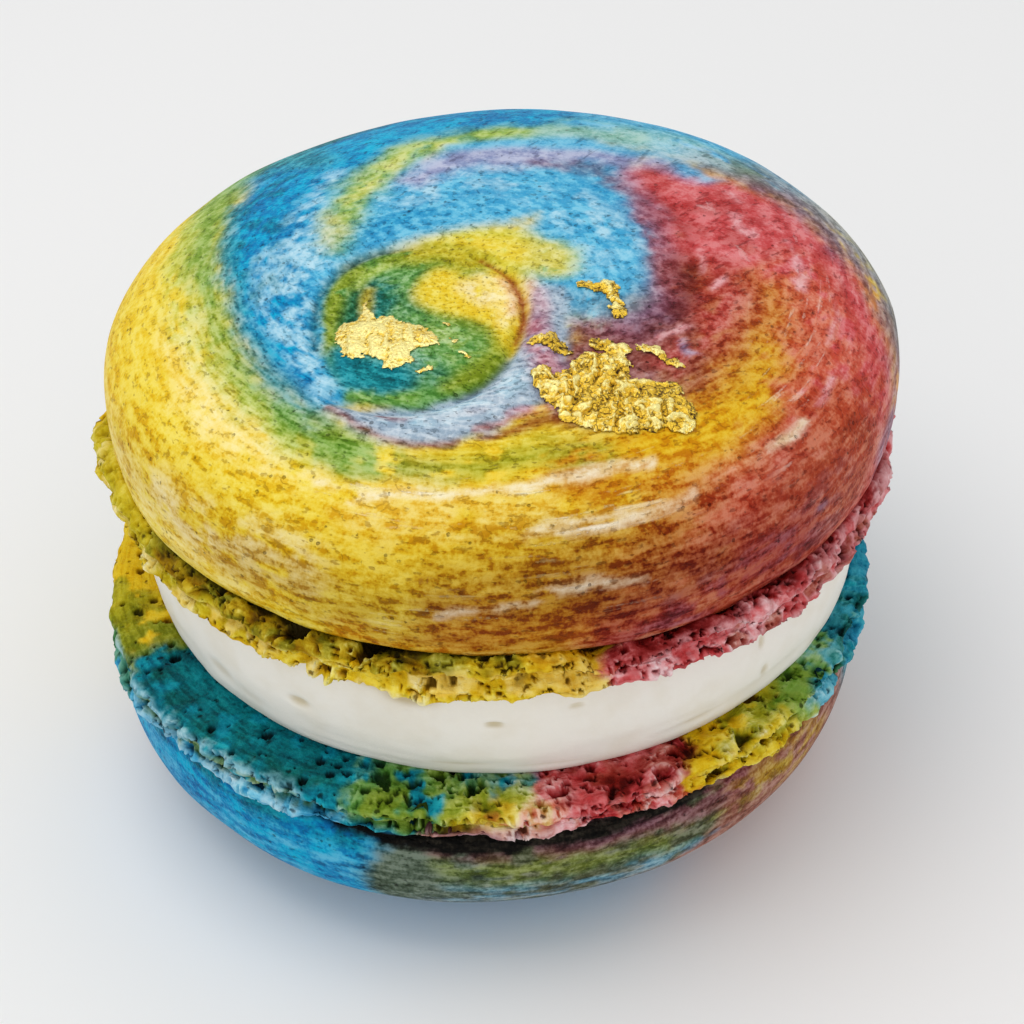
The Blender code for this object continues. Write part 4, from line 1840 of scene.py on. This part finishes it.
    Stroke(((-3.6, -6.6, 0.25), (-2.2, -7.5, 0.3), (-0.8, -8.5, 0.3), (0, -9.8, 0.25)),
           P.OLIVE, 0.5, 0.6, 0.15),
    Stroke(((-10.2, -8.4, 0.15), (-10.2, -5.4, 0.2), (-9.4, -2.7, 0.25), (-7.8, -1, 0.25),
            (-6.2, -0.3, 0.2)), P.TEAL, 0.4, 0.75, 0, 0.4),
    Stroke(((-7.8, -3.6, 0.3), (-7.2, -2.5, 0.35), (-6.2, -1.9, 0.25)), P.SPRING, 0.4, 0.7, 0, 0.5),
    Stroke(((-7.3, -6.2, 0.25), (-7.3, -5, 0.3), (-7.2, -4.2, 0.25)), P.MUSTARD, 0.4, 0.6, 0, 0.4),
    Stroke(((-0.9, -1.7, 0.08), (0, -2.6, 0.12), (0.8, -3.8, 0.17), (1.2, -5.2, 0.2), (1.3, -6.8, 0.17),
            (1.1, -8.1, 0.12), (0.8, -9.2, 0.06)), P.RUST, 0.22, 0.9, 0, 0.25),
    # White streaks of the front, where the brush ran dry
    Stroke(((-10, -18, 0.1), (-6, -19.4, 0.3), (-2, -19.6, 0.15)), P.IVORY, 0.4, 0.6, 0.35, 0.4),
    Stroke(((-2, -19.6, 0.1), (3, -19.2, 0.3), (8, -17.7, 0.2)), P.IVORY, 0.35, 0.75, 0.15, 0.4),
    Stroke(((1, -22.1, 0.1), (4, -21.7, 0.28), (7, -20.7, 0.22), (10, -19.4, 0.1)),
           P.IVORY, 0.35, 0.65, 0.3, 0.4),
    Stroke(((-4.5, -26.2, 0.1), (-1, -26, 0.2), (2, -25.3, 0.25), (5, -24.8, 0.2), (8, -24.2, 0.1)),
           P.IVORY, 0.35, 0.5, 0.35, 0.4),
    Stroke(((14.6, -15.8, 0.1), (15.8, -14.6, 0.25), (16.8, -13.3, 0.2)), P.IVORY, 0.25, 0.7, 0, 0.4),
    Stroke(((17.6, -12, 0.08), (18.2, -10.6, 0.16), (18.6, -9.6, 0.08)), P.BLUSH, 0.2, 0.8, 0, 0.3),
    Stroke(((18.4, -7.2, 0.06), (18.8, -5, 0.14), (19, -3, 0.06)), P.BLUSH, 0.2, 0.7, 0, 0.3),
    Stroke(((7.8, -9.4, 0.1), (8.9, -8.6, 0.2), (10, -8, 0.18)), P.BLUSH, 0.25, 0.75, 0, 0.4),
    Stroke(((11.8, -4.6, 0.1), (12.3, -3.9, 0.25), (12.7, -3.5, 0.12)), P.BLUSH, 0.25, 0.75, 0, 0.4),
    Stroke(((11.3, -3, 0.1), (11.6, -1.6, 0.16), (11.7, -0.4, 0.08)), P.BLUSH, 0.25, 0.6, 0, 0.4),
    Stroke(((14.1, 3.6, 0.15), (14.5, 1.4, 0.25)), P.BLUSH, 0.3, 0.75),
    Stroke(((16.6, 1.4, 0.12), (17.1, -1, 0.25), (17.1, -3.2, 0.15)), P.BLUSH, 0.3, 0.75),
    Stroke(((13.4, 6.4, 0.15), (14.2, 5.2, 0.25)), P.BLUSH, 0.3, 0.7),
    Stroke(((10.1, -9.2, 0.12), (10.4, -10, 0.22), (10.9, -10.2, 0.1)), P.LILAC, 0.25, 0.7, 0, 0.4),
    Stroke(((18.8, -18, 0.3), (19.4, -17.4, 0.3)), P.PLUM, 0.4, 0.9),
)
GLAZED = (
    Stroke(((-9, -18.5, 1), (-3, -20, 2), (3, -20.5, 2.6), (9, -18, 2)), P.IVORY, 1.5, 0.6),
    Stroke(((-8, -26, 1.2), (0, -26, 1.6), (8, -24, 1.6)), P.IVORY, 1.5, 0.45),
    Stroke(((13, 5, 1.6), (16, 0, 2.6), (16.6, -8, 2.6), (15, -15, 2)), P.IVORY, 1.5, 0.6),
)
TOASTED = (
    Stroke(((-28, 0, 4), (-24, -10, 5), (-16, -20, 6), (-6, -24, 6), (4, -24, 5), (10, -21, 4)),
           P.IVORY, 3, 0.75),
    Stroke(((-17, -4, 2), (-15, -11, 3), (-9, -17, 3), (0, -20, 3), (8, -18, 3)), P.IVORY, 2, 0.4),
    Stroke(((14, -6, 3), (13, -12, 3), (8, -17, 3)), P.IVORY, 2, 0.4),
)
CROWN_FURROWS = (
    Furrow(((-1.3, -1.4, 0.1), (0.5, -3.1, 0.25), (1.3, -5.3, 0.3), (1.1, -8.2, 0.3), (0.3, -10.6, 0.3),
            (-1, -12.5, 0.3), (-2.8, -13.7, 0.3), (-5.2, -14.1, 0.3), (-7.6, -13.5, 0.25),
            (-9.5, -12.2, 0.1)), -0.32, 0.4),
    Furrow(((-10.1, -9.4, 0.1), (-10.3, -5.6, 0.2), (-9.1, -2.2, 0.25), (-6.4, -0.3, 0.25),
            (-3.4, -0.2, 0.15)), -0.2, 0.45),
    Furrow(((2.6, -8, 0.5), (1.8, -11.6, 0.9), (-0.4, -14.3, 1), (-3.6, -15.3, 0.9), (-6.6, -14.9, 0.6),
            (-9.2, -13.3, 0.2)), 0.32, 0.6),
    Furrow(((-5.2, -5, 2.4), (-4.8, -8.6, 2.9)), 0.18, 1.6),
    Furrow(((9, 6, 0.5), (11, 0, 0.8), (10, -6, 0.8), (6, -10, 0.6)), -0.12, 1.2),
    Furrow(((7.8, -24.1, 0.02), (7.9, -24, 0.02)), -0.45, 0.35),
)

# On a ring, places are azimuth in degrees and length from the crown in mm.
LOWER_CAP_STROKES = (
    Stroke(((-178, 24, 3), (-172, 18, 8), (-140, 18, 11), (-108, 20, 10)), P.AZURE, 1),
    Stroke(((-176, 27, 2.5), (-150, 27, 3.5), (-120, 27, 3.5), (-104, 27, 3)), P.AZURE, 0.8),
    Stroke(((-165, 25, 2), (-115, 25, 2)), P.SKY, 1.5, 0.5, 0.55),
    Stroke(((-168, 28.4, 0.9), (-140, 28.4, 0.9), (-118, 28.4, 0.9), (-106, 28.4, 0.7)),
           P.TEAL, 0.8, 0.75, 0.5),
    # The front's grey olive, wine and plum are darker than the batter: partly its own colours, partly
    # painted shade under the overhanging foot.
    Stroke(((-98, 25, 4.5), (-84, 25.4, 4.2), (-72, 26, 3.6), (-60, 27, 2.4)), P.THYME, 1, 0.95),
    Stroke(((-97, 23.2, 1.4), (-80, 23.4, 1.4), (-66, 23.8, 1)), P.SLATE, 1.2, 0.7, 0.35),
    Stroke(((-96, 24.4, 0.7), (-80, 24.4, 0.8), (-62, 24.8, 0.7), (-52, 25.4, 0.5)), P.SKY, 0.8, 0.4, 0.5),
    Stroke(((-97, 26.8, 0.8), (-86, 26.6, 1), (-72, 26.4, 1), (-58, 26.4, 0.9), (-50, 26.4, 1),
            (-42, 26.4, 0.8)), P.OLIVE, 0.8, 0.45, 0.4),
    Stroke(((-97.5, 28.6, 0.9), (-80, 28.4, 1.1), (-60, 28, 1.2), (-46, 27.6, 0.9)),
           P.WINE, 0.7, 0.75, 0.2),
    Stroke(((-96, 29, 0.7), (-80, 28.8, 0.7), (-64, 28.6, 0.7)), P.PLUM, 0.6, 0.6, 0.3),
    Stroke(((-50, 27, 1.2), (-40, 26.6, 1.6), (-32, 26, 1.4)), P.OCHRE, 1.2, 0.7, 0.45),
    # Painted shadow: a near-black line along the front of the crease, under the foot's overhang.
    Stroke(((-120, 29.2, 0.3), (-107, 28.8, 0.5), (-97, 28.6, 0.65), (-86, 28.5, 0.65), (-74, 28.6, 0.6),
            (-60, 28.8, 0.5), (-48, 29.2, 0.3)), P.CREASE_SHADOW, 0.25, 1, 0, 0.5),
    Stroke(((-16, 26, 2), (-4, 26, 3), (20, 24, 6), (50, 22, 8)), P.LAGOON, 1.5, 0.85),
    Stroke(((60, 25, 4), (90, 24, 6), (120, 25, 4)), P.AZURE, 1.5, 0.85),
    Stroke(((135, 26, 3), (150, 25, 4), (170, 26, 3), (176, 27, 2)), P.LEAF, 1.5, 0.85),
    Stroke(((158, 27, 1.5), (172, 26, 2), (178, 25, 2)), P.LEMON, 1.2, 0.8),
    Stroke(((-80, 14, 5), (-30, 14, 7), (20, 14, 4)), P.CORAL, 2.5, 0.5),
    Stroke(((90, 12, 4), (140, 13, 5), (180, 13, 3)), P.LEMON, 2.5, 0.75),
)

LOWER_TOASTED = (Stroke(((-180, 24, 8), (-90, 24, 8), (0, 24, 8)), P.IVORY, 2, 0.15),)

# On a foot, places are azimuth in degrees and the zone, from 0 in the crease to 5 at the cream.
UPPER_FOOT_STROKES = (
    Stroke(((-180, 1.5, 1.4), (-150, 1.5, 1.4), (-128, 1.5, 1.2)), P.OLIVE, 0.8, 0.4),
    # Painted shade: dark moss along the crease under the cap's lip.
    Stroke(((-150, 0, 0.9), (-125, 0, 1.2), (-104, 0, 1.1), (-90, 0, 0.7)), P.MOSS, 0.5, 0.9),
    Stroke(((-150, 1.2, 0.7), (-125, 1.3, 1), (-104, 1.2, 0.8)), P.OCHRE, 0.5, 0.7, 0.35),
    Stroke(((-178, 2, 1.5), (-130, 3, 1), (-92, 2.4, 1.4)), P.BUTTER, 0.5, 0.8, 0.55),
    Stroke(((-83, 1, 2), (-79, 2, 2.4), (-78, 3.5, 2)), P.AMBER, 0.6, 0.3),
    Stroke(((-83, 2, 1.6), (-78, 3, 1.6)), P.BUTTER, 0.6, 0.6, 0.45),
    Stroke(((-69.5, 2.2, 3.6), (-55, 2.2, 3.6), (-30, 2.2, 3.6), (-5, 2.2, 3.6), (15, 2.2, 3)),
           P.ROSE, 0.4),
    Stroke(((-69, 2.4, 1.8), (-55, 2.2, 1.8), (-30, 2, 2), (0, 2, 2)), P.BLUSH, 0.5, 0.9, 0.42),
    Stroke(((-66, 3, 1.2), (-50, 2.4, 1.5), (-25, 2.4, 1.5)), P.RUST, 0.5, 0.8, 0.66),
    # Painted shade: dark cherry along the crease under the cap's lip.
    Stroke(((-74, 0.3, 0.9), (-66, 0.2, 0.9), (-50, 0, 0.8), (-20, 0, 0.7)), P.CHERRY, 0.5, 0.95),
    Stroke(((-60, 3.6, 0.6), (-54, 3.8, 0.7), (-48, 3.6, 0.5)), P.CHERRY, 0.4, 0.7, 0.4),
    Stroke(((22, 2.2, 4), (48, 2.2, 4)), P.MAUVE, 0.8),
    Stroke(((58, 2.2, 4), (92, 2.2, 4)), P.SKY, 0.8),
    Stroke(((102, 2.2, 3), (118, 2.2, 4), (134, 2.2, 3)), P.LEAF, 0.8),
)
LOWER_FOOT_STROKES = (  # from the yellow left round the front to the right and the back
    Stroke(((-160, 4.6, 0.9), (-110, 4.6, 0.9)), P.TEAL, 0.6, 0.7, 0.2),
    Stroke(((-155, 3.9, 0.6), (-112, 3.9, 0.6)), P.PINE, 0.5, 0.4, 0.5),
    Stroke(((-188, 3, 4), (-176, 3.4, 3.2), (-166, 4.2, 1.7), (-158, 4.8, 0.7)), P.MUSTARD, 0.6, 1, 0, 0.6),
    Stroke(((-172, 2, 0.8), (-164, 2.6, 1), (-157, 3.4, 0.9)), P.OLIVE, 0.7, 0.8, 0.2, 0.5),
    Stroke(((-166, 5.2, 0.9), (-161, 4.6, 1.1), (-157, 3.8, 0.8)), P.MOSS, 0.7, 0.4, 0.35, 0.5),
    Stroke(((-162, 5.4, 0.7), (-156, 4.6, 0.9), (-151, 4, 0.6)), P.PINE, 0.6, 0.45, 0.45, 0.4),
    Stroke(((-174, 3.4, 1), (-162, 4.4, 0.9), (-155, 4.8, 0.5)), P.OLIVE, 0.6, 0.6, 0.4),
    Stroke(((-178, 1.4, 0.9), (-168, 1.6, 0.9), (-160, 2.4, 0.8)), P.PINE, 0.5, 0.8, 0.35),
    Stroke(((-162, 1.2, 0.8), (-140, 1, 0.9), (-112, 1, 0.8)), P.SKY, 0.45, 0.95),
    Stroke(((-160, 1, 0.7), (-138, 0.9, 0.8), (-112, 0.9, 0.7)), P.PALE_SKY, 0.4, 0.7, 0.5),
    Stroke(((-158, 3.2, 0.45), (-135, 3.2, 0.5), (-112, 3.2, 0.5)), P.PALE_SKY, 0.4, 0.6, 0.4),
    Stroke(((-176, 1.2, 1.2), (-166, 1.4, 1.3), (-154, 2, 0.9)), P.FERN, 0.6, 0.7, 0.2),
    Stroke(((-152, 2.2, 0.5), (-135, 2.2, 0.6), (-122, 2.4, 0.6), (-112, 2.6, 0.6)),
           P.OLIVE, 0.45, 0.85, 0.5),
    Stroke(((-150, 2, 0.35), (-130, 2, 0.4), (-108, 2, 0.35)), P.PINE, 0.4, 0.7, 0.4),
    Stroke(((-106, 3.6, 2.2), (-99, 3.4, 2.4), (-94, 3.4, 2.2)), P.LEAF, 0.6, 0.85, 0.25),
    Stroke(((-104, 3.4, 1.5), (-95, 3.2, 2.2), (-90, 3, 2.2)), P.OLIVE, 0.6, 0.75, 0.4),
    Stroke(((-91, 2.8, 1.4), (-86.5, 2.8, 1.8), (-83, 2.6, 1.8)), P.MUSTARD, 0.6, 0.9),
    Stroke(((-93, 4.2, 0.8), (-84, 4.2, 0.9)), P.OLIVE, 0.5, 0.8, 0.35),
    Stroke(((-91, 2.2, 1), (-86, 2.2, 1)), P.OLIVE, 0.5, 0.6, 0.5),
    Stroke(((-88, 3, 0.8), (-81, 3, 0.8)), P.CORAL, 0.5, 0.5, 0.55),
    Stroke(((-77.5, 3, 3), (-59, 3, 3)), P.ROSE, 0.45),
    Stroke(((-97, 1, 0.6), (-88, 1, 0.7), (-80, 1, 0.9)), P.BLUSH, 0.4, 0.7),
    Stroke(((-96, 0.8, 0.4), (-86, 0.8, 0.5), (-78, 0.8, 0.5)), P.WINE, 0.4, 0.5, 0.5),
    Stroke(((-79, 3, 2.4), (-67, 2.4, 2.4), (-58, 3, 2.4)), P.CORAL, 0.5, 0.8, 0.5),
    Stroke(((-80, 4.2, 0.9), (-55, 4.2, 0.9)), P.CHERRY, 0.5, 0.85, 0.3),
    Stroke(((-74, 2, 1.2), (-62, 2.2, 1.2)), P.BLUSH, 0.5, 0.6, 0.6),
    Stroke(((-52.5, 3, 3), (-47, 3, 3.2), (-41, 3, 3.2)), P.MUSTARD, 0.5),
    Stroke(((-53, 4.2, 0.9), (-47, 4.2, 0.9), (-40, 4.2, 1)), P.OLIVE, 0.5, 0.8, 0.35),
    Stroke(((-53, 2, 0.8), (-43, 2.2, 0.9)), P.OLIVE, 0.5, 0.6, 0.5),
    Stroke(((-53, 3, 0.8), (-43, 2.6, 0.9)), P.BUTTER, 0.5, 0.6, 0.6),
    Stroke(((-39, 3, 2.6), (-34, 3, 3), (-30, 3, 3)), P.LEAF, 0.8, 0.9),
    Stroke(((-34, 2, 1.6), (-26, 2, 3), (-10, 2, 3.5), (10, 2, 4), (30, 2, 4)), P.SKY, 0.8, 0.8, 0.3),
    Stroke(((-32, 3.4, 1.6), (-20, 3.2, 2), (-5, 3.2, 2.4), (15, 3, 2.4)), P.LAGOON, 0.8, 0.7, 0.25),
    Stroke(((-34, 3.6, 0.8), (-24, 3.6, 0.9), (-14, 3.6, 0.9)), P.PINE, 0.5, 0.7, 0.5),
    Stroke(((45, 2.5, 4), (95, 2.5, 4)), P.LAGOON, 0.8, 0.9),
    Stroke(((60, 1, 1.5), (90, 1, 1.5)), P.SKY, 0.6, 0.8, 0.4),
    Stroke(((112, 2.5, 3), (130, 2.5, 4), (150, 2.5, 3.5)), P.LEAF, 0.9, 0.9),
    Stroke(((145, 3, 2), (160, 3, 3.5), (172, 3, 4)), P.MUSTARD, 0.8, 0.95),
)
UPPER_CRUMB = Crumb(
    foam=((-180, 0.35), (-165, 0.45), (-150, 0.75), (-125, 1), (-84, 1.1), (-60, 0.95), (-30, 0.6),
          (0, 0.5), (60, 0.8), (120, 0.7)),
    open_face=((-180, 0.3), (0, 0.3)),
    gap=((-180, -0.3), (-150, -0.2), (-130, -0.15), (-114, 0), (-109, 0.7), (-105, 0), (-97, -0.3),
         (-84, -0.35), (-78.5, 0.8), (-74, 0.3), (-66, -0.1), (-50, -0.2), (-30, -0.2), (-10, -0.3),
         (20, 0), (60, 0.2), (100, -0.1), (140, 0.2), (165, -0.1)),
    reach=((-185, 0.5), (-176, 0.85), (-168, 0.2), (-155, 0), (-120, 0), (-100, 0.1), (-60, 0),
           (-30, -0.25), (-10, -0.45), (10, -0.3), (60, 0), (120, 0.2), (150, 0.1)),
)
LOWER_CRUMB = Crumb(
    foam=((-180, 0.25), (-165, 0.4), (-150, 0.6), (-130, 0.85), (-112, 0.75), (-95, 1.1), (-60, 1.15),
          (-40, 0.9), (-20, 0.55), (20, 0.6), (80, 0.8), (140, 0.5)),
    open_face=((-180, 0.05), (-118, 0.1), (-106, 0.55), (-92, 0.9), (-60, 1), (-42, 0.85), (-25, 0.35),
               (0, 0.3), (120, 0.4)),
    gap=((-180, -0.5), (-155, -0.4), (-140, -0.05), (-125, -0.15), (-115, 0.15), (-104, 0.35), (-90, 0.25),
         (-80, 0.4), (-66, 0.3), (-55, 0), (-45, -0.4), (0, -0.5), (60, -0.1), (120, -0.3)),
    reach=((-185, -1.3), (-172, -0.9), (-164, -0.35), (-155, -0.05), (-145, 0), (-30, 0), (0, -0.1),
           (60, 0.2), (120, 0), (160, -0.8)),
)
CREAM_DENTS = (
    Dent(-122.9, 0.45, 0.75, 0.35, 0.16),
    Dent(-109, 0.80, 1.9, 0.30, 0.14),
    Dent(-110, 0.87, 2.2, 0.22, -0.12),
    Dent(-104.5, 0.74, 1.6, 0.50, 0.22),
    Dent(-92.3, 0.56, 0.60, 0.26, 0.18),
    Dent(-92.3, 0.61, 0.70, 0.12, -0.05),
    Dent(-80.2, 0.66, 0.55, 0.24, 0.13),
    Dent(-48.6, 0.60, 0.30, 0.60, 0.13),
    Dent(-47.5, 0.30, 0.35, 0.50, 0.12),
    Dent(-60, 0.20, 1.6, 0.20, 0.08),
    Dent(-98, 0.16, 2.2, 0.16, 0.10),
    Dent(-84, 0.13, 2.4, 0.14, 0.08),
    Dent(-140, 0.3, 1.2, 0.5, 0.10),
    Dent(20, 0.6, 1.2, 0.5, 0.15),
    Dent(75, 0.5, 0.8, 0.4, 0.15),
    Dent(100, 0.7, 1.4, 0.3, -0.12),
    Dent(140, 0.65, 1.4, 0.6, 0.2),
)
GOLD_FLAKES = (
    Route(((-8.2, -7.4, 0.8), (-7.9, -8.9, 0.9))),
    Route(((-7.2, -7.4, 0.9), (-6.1, -8.6, 1.4), (-5.6, -10.2, 0.9))),
    Route(((-6.2, -7.8, 1), (-4.6, -8.7, 0.9), (-3.7, -9, 0.45))),
    Route(((-7.2, -6.8, 0.45), (-7.3, -6, 0.3), (-7.3, -5.1, 0.2))),
    Route(((-3, -7.7, 0.2), (-2.7, -7.9, 0.2))),
    Route(((-2.8, -8.8, 0.2), (-2.4, -9.2, 0.2))),
    Route(((-2.2, -10, 0.2), (-1.9, -10.3, 0.2))),
    Route(((-4.2, -11.4, 0.22), (-3.8, -11.2, 0.2))),
    Route(((2.3, -12.6, 0.9), (3.2, -13.2, 1.3), (4.6, -13.2, 2), (6.4, -13.8, 1.9), (8.2, -14.2, 1.3),
           (9.3, -14.6, 1.1))),
    Route(((3.8, -14.8, 0.9), (5.4, -15.2, 0.9), (7.4, -15.1, 0.9))),
    Route(((4.8, -11.2, 1), (5.9, -11.4, 1.1), (6.2, -12, 1))),
    Route(((8.6, -13.2, 0.6), (9.2, -12.9, 0.4))),
    Route(((1.8, -9.4, 0.45), (2.6, -9.6, 0.55), (3.5, -10.3, 0.35))),
    Route(((5, -9.6, 0.45), (6, -9.8, 0.65), (6.9, -9.9, 0.4))),
    Route(((7.4, -10, 0.25), (8.2, -10.1, 0.45), (9, -10.8, 0.35), (9.8, -11.2, 0.2))),
    Route(((4.9, -4.6, 0.35), (5.8, -4.75, 0.42), (6.4, -5.1, 0.38), (6.35, -5.8, 0.38), (6.5, -6.7, 0.55),
           (6.6, -7.3, 0.5))),
)


# ---- Studio


@dataclass(frozen=True)
class Lamp:
    """A round, soft area lamp.

    Attributes:
        name: Its name.
        place: Where it hangs, in mm.
        size: Its diameter in mm.
        power: Its power in watts.
    """

    name: str
    place: tuple[float, float, float]
    size: float
    power: float


@dataclass(frozen=True)
class Studio:
    """Pale floor, soft light and the camera.

    Attributes:
        target: What the camera looks at, in mm.
        distance: How far away it stands, in mm.
        elevation: How high it looks down from, in degrees.
        roll: How far it is rolled, in degrees.
        lens: Focal length in mm.
        daylight: Strength of the light from all round.
        lamps: The lamps, which face the target.
    """

    target: tuple[float, float, float] = (1.85, 0.5, 15.15)
    distance: float = 165.0
    elevation: float = 40.7
    roll: float = -2.4
    lens: float = 94.9
    daylight: float = 0.78
    lamps: tuple[Lamp, ...] = (
        Lamp("key", (-60.0, -10.0, 240.0), 170.0, 0.16),
        Lamp("fill", (0.0, -210.0, 110.0), 380.0, 0.06),
    )

    SENSOR = 36.0  # width of the camera's sensor in mm
    NEAREST = 0.01  # what is nearer to the camera isn't seen, in metres
    FLOOR = 2.0  # width of the floor in metres

    def build(self) -> None:
        """Makes floor, lights and camera."""
        self._camera()
        self._floor()
        world = bpy.data.worlds.new("studio")
        world.use_nodes = True
        world.node_tree.nodes["Background"].inputs["Color"].default_value = (1, 1, 1, 1)
        world.node_tree.nodes["Background"].inputs["Strength"].default_value = self.daylight
        bpy.context.scene.world = world
        for lamp in self.lamps:
            self._hang(lamp)
        bpy.context.scene.view_settings.view_transform = "Standard"

    def _camera(self) -> None:
        """Makes the camera."""
        data = bpy.data.cameras.new("camera")
        data.lens = self.lens
        data.sensor_width = self.SENSOR
        data.clip_start = self.NEAREST
        camera = add_object("camera", data)
        rise = math.radians(self.elevation)
        away = Vector((0.0, -math.cos(rise), math.sin(rise)))
        target = Vector(self.target) * MM
        turn = Matrix.Rotation(math.pi / 2 - rise, 4, "X") @ Matrix.Rotation(
            math.radians(self.roll), 4, "Z"
        )
        camera.matrix_world = Matrix.Translation(target + away * self.distance * MM) @ turn
        bpy.context.scene.camera = camera

    def _hang(self, lamp: Lamp) -> None:
        """Makes one lamp that faces the macaron."""
        data = bpy.data.lights.new(lamp.name, "AREA")
        data.shape = "DISK"
        data.size = lamp.size * MM
        data.energy = lamp.power
        holder = add_object(lamp.name, data)
        spot = Vector(lamp.place) * MM
        aim = (spot - Vector(self.target) * MM).to_track_quat("Z", "Y").to_matrix().to_4x4()
        holder.matrix_world = Matrix.Translation(spot) @ aim

    def _floor(self) -> None:
        """Makes the floor."""
        bm = bmesh.new()
        bmesh.ops.create_grid(bm, x_segments=1, y_segments=1, size=self.FLOOR)
        add_mesh("floor", bm, FloorFinish().material())


@dataclass(frozen=True)
class Assembly:
    """How the shells and the cream sit on each other, in mm.

    Attributes:
        seat_gap: Clear space between the lower shell's inner face and the cream.
        cream_height: From the lower inner face to the upper one.
        upper_shift: How far the upper shell slid off the middle.
        tilt: Its tilt in degrees.
    """

    seat_gap: float = 0.3
    cream_height: float = 7.3
    upper_shift: tuple[float, float] = (1.6, 0.5)
    tilt: float = -2.0


def main() -> None:
    """Builds the macaron and its studio."""
    logging.basicConfig(level=logging.INFO, format="%(message)s")
    assembly = Assembly()
    filling_low, filling_high = (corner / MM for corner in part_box("filling"))
    inner_face = filling_low.z - assembly.seat_gap
    tilt = math.radians(assembly.tilt)
    upper_seat = Seat((*assembly.upper_shift, inner_face + assembly.cream_height), tilt)
    lower_seat = Seat((0.0, 0.0, inner_face), math.pi)
    upper_sizes = ShellSizes(cap_radius=23.0, foot_radius=23.3)
    lower_sizes = ShellSizes(cap_radius=22.7, foot_radius=23.5, flat_radius=6.0, lip=-0.5)
    crust = CrustFinish("crust").material()
    crumb = CrustFinish(
        "crumb",
        body=1.1,
        mottle=0.4,
        relief_shading=0.75,
        specks=0.12,
        pores=0.9,
        pore_size=0.27,
        roughness=0.6,
    ).material()

    upper_cap = Cap(
        Piece("upper_cap", "upper_shell", "upper_shell"),
        upper_sizes,
        upper_seat,
        Pigment.LEMON,
        CROWN_STROKES,
        GLAZED,
        TOASTED,
        CROWN_FURROWS,
        eye=(-4.5, -6.5),
        seed=2,
    )
    upper_cap.build(crust)
    Foot(
        Piece("upper_foot", "upper_shell", "upper_shell"),
        upper_sizes,
        upper_seat,
        Pigment.MUSTARD,
        UPPER_FOOT_STROKES,
        UPPER_CRUMB,
        seed=4,
    ).build(crumb)
    Filling(
        Piece("cream_filling", "cream", "filling"), filling_low, filling_high, tilt, CREAM_DENTS
    ).build(CreamFinish().material())
    Foot(
        Piece("lower_foot", "lower_shell", "lower_shell"),
        lower_sizes,
        lower_seat,
        Pigment.LAGOON,
        LOWER_FOOT_STROKES,
        LOWER_CRUMB,
        turned=True,
        valley=0.6,
        seed=6,
    ).build(crumb)
    Cap(
        Piece("lower_cap", "lower_shell", "lower_shell"),
        lower_sizes,
        lower_seat,
        Pigment.CLAY,
        LOWER_CAP_STROKES,
        toasted=LOWER_TOASTED,
        ring=True,
        turned=True,
        seed=8,
        cells=290,
    ).build(crust)
    GoldLeaf(Piece("gold_leaf", "gold_leaf"), upper_cap, GOLD_FLAKES).build(LeafFinish().material())
    Studio().build()


if __name__ == "__main__":
    main()
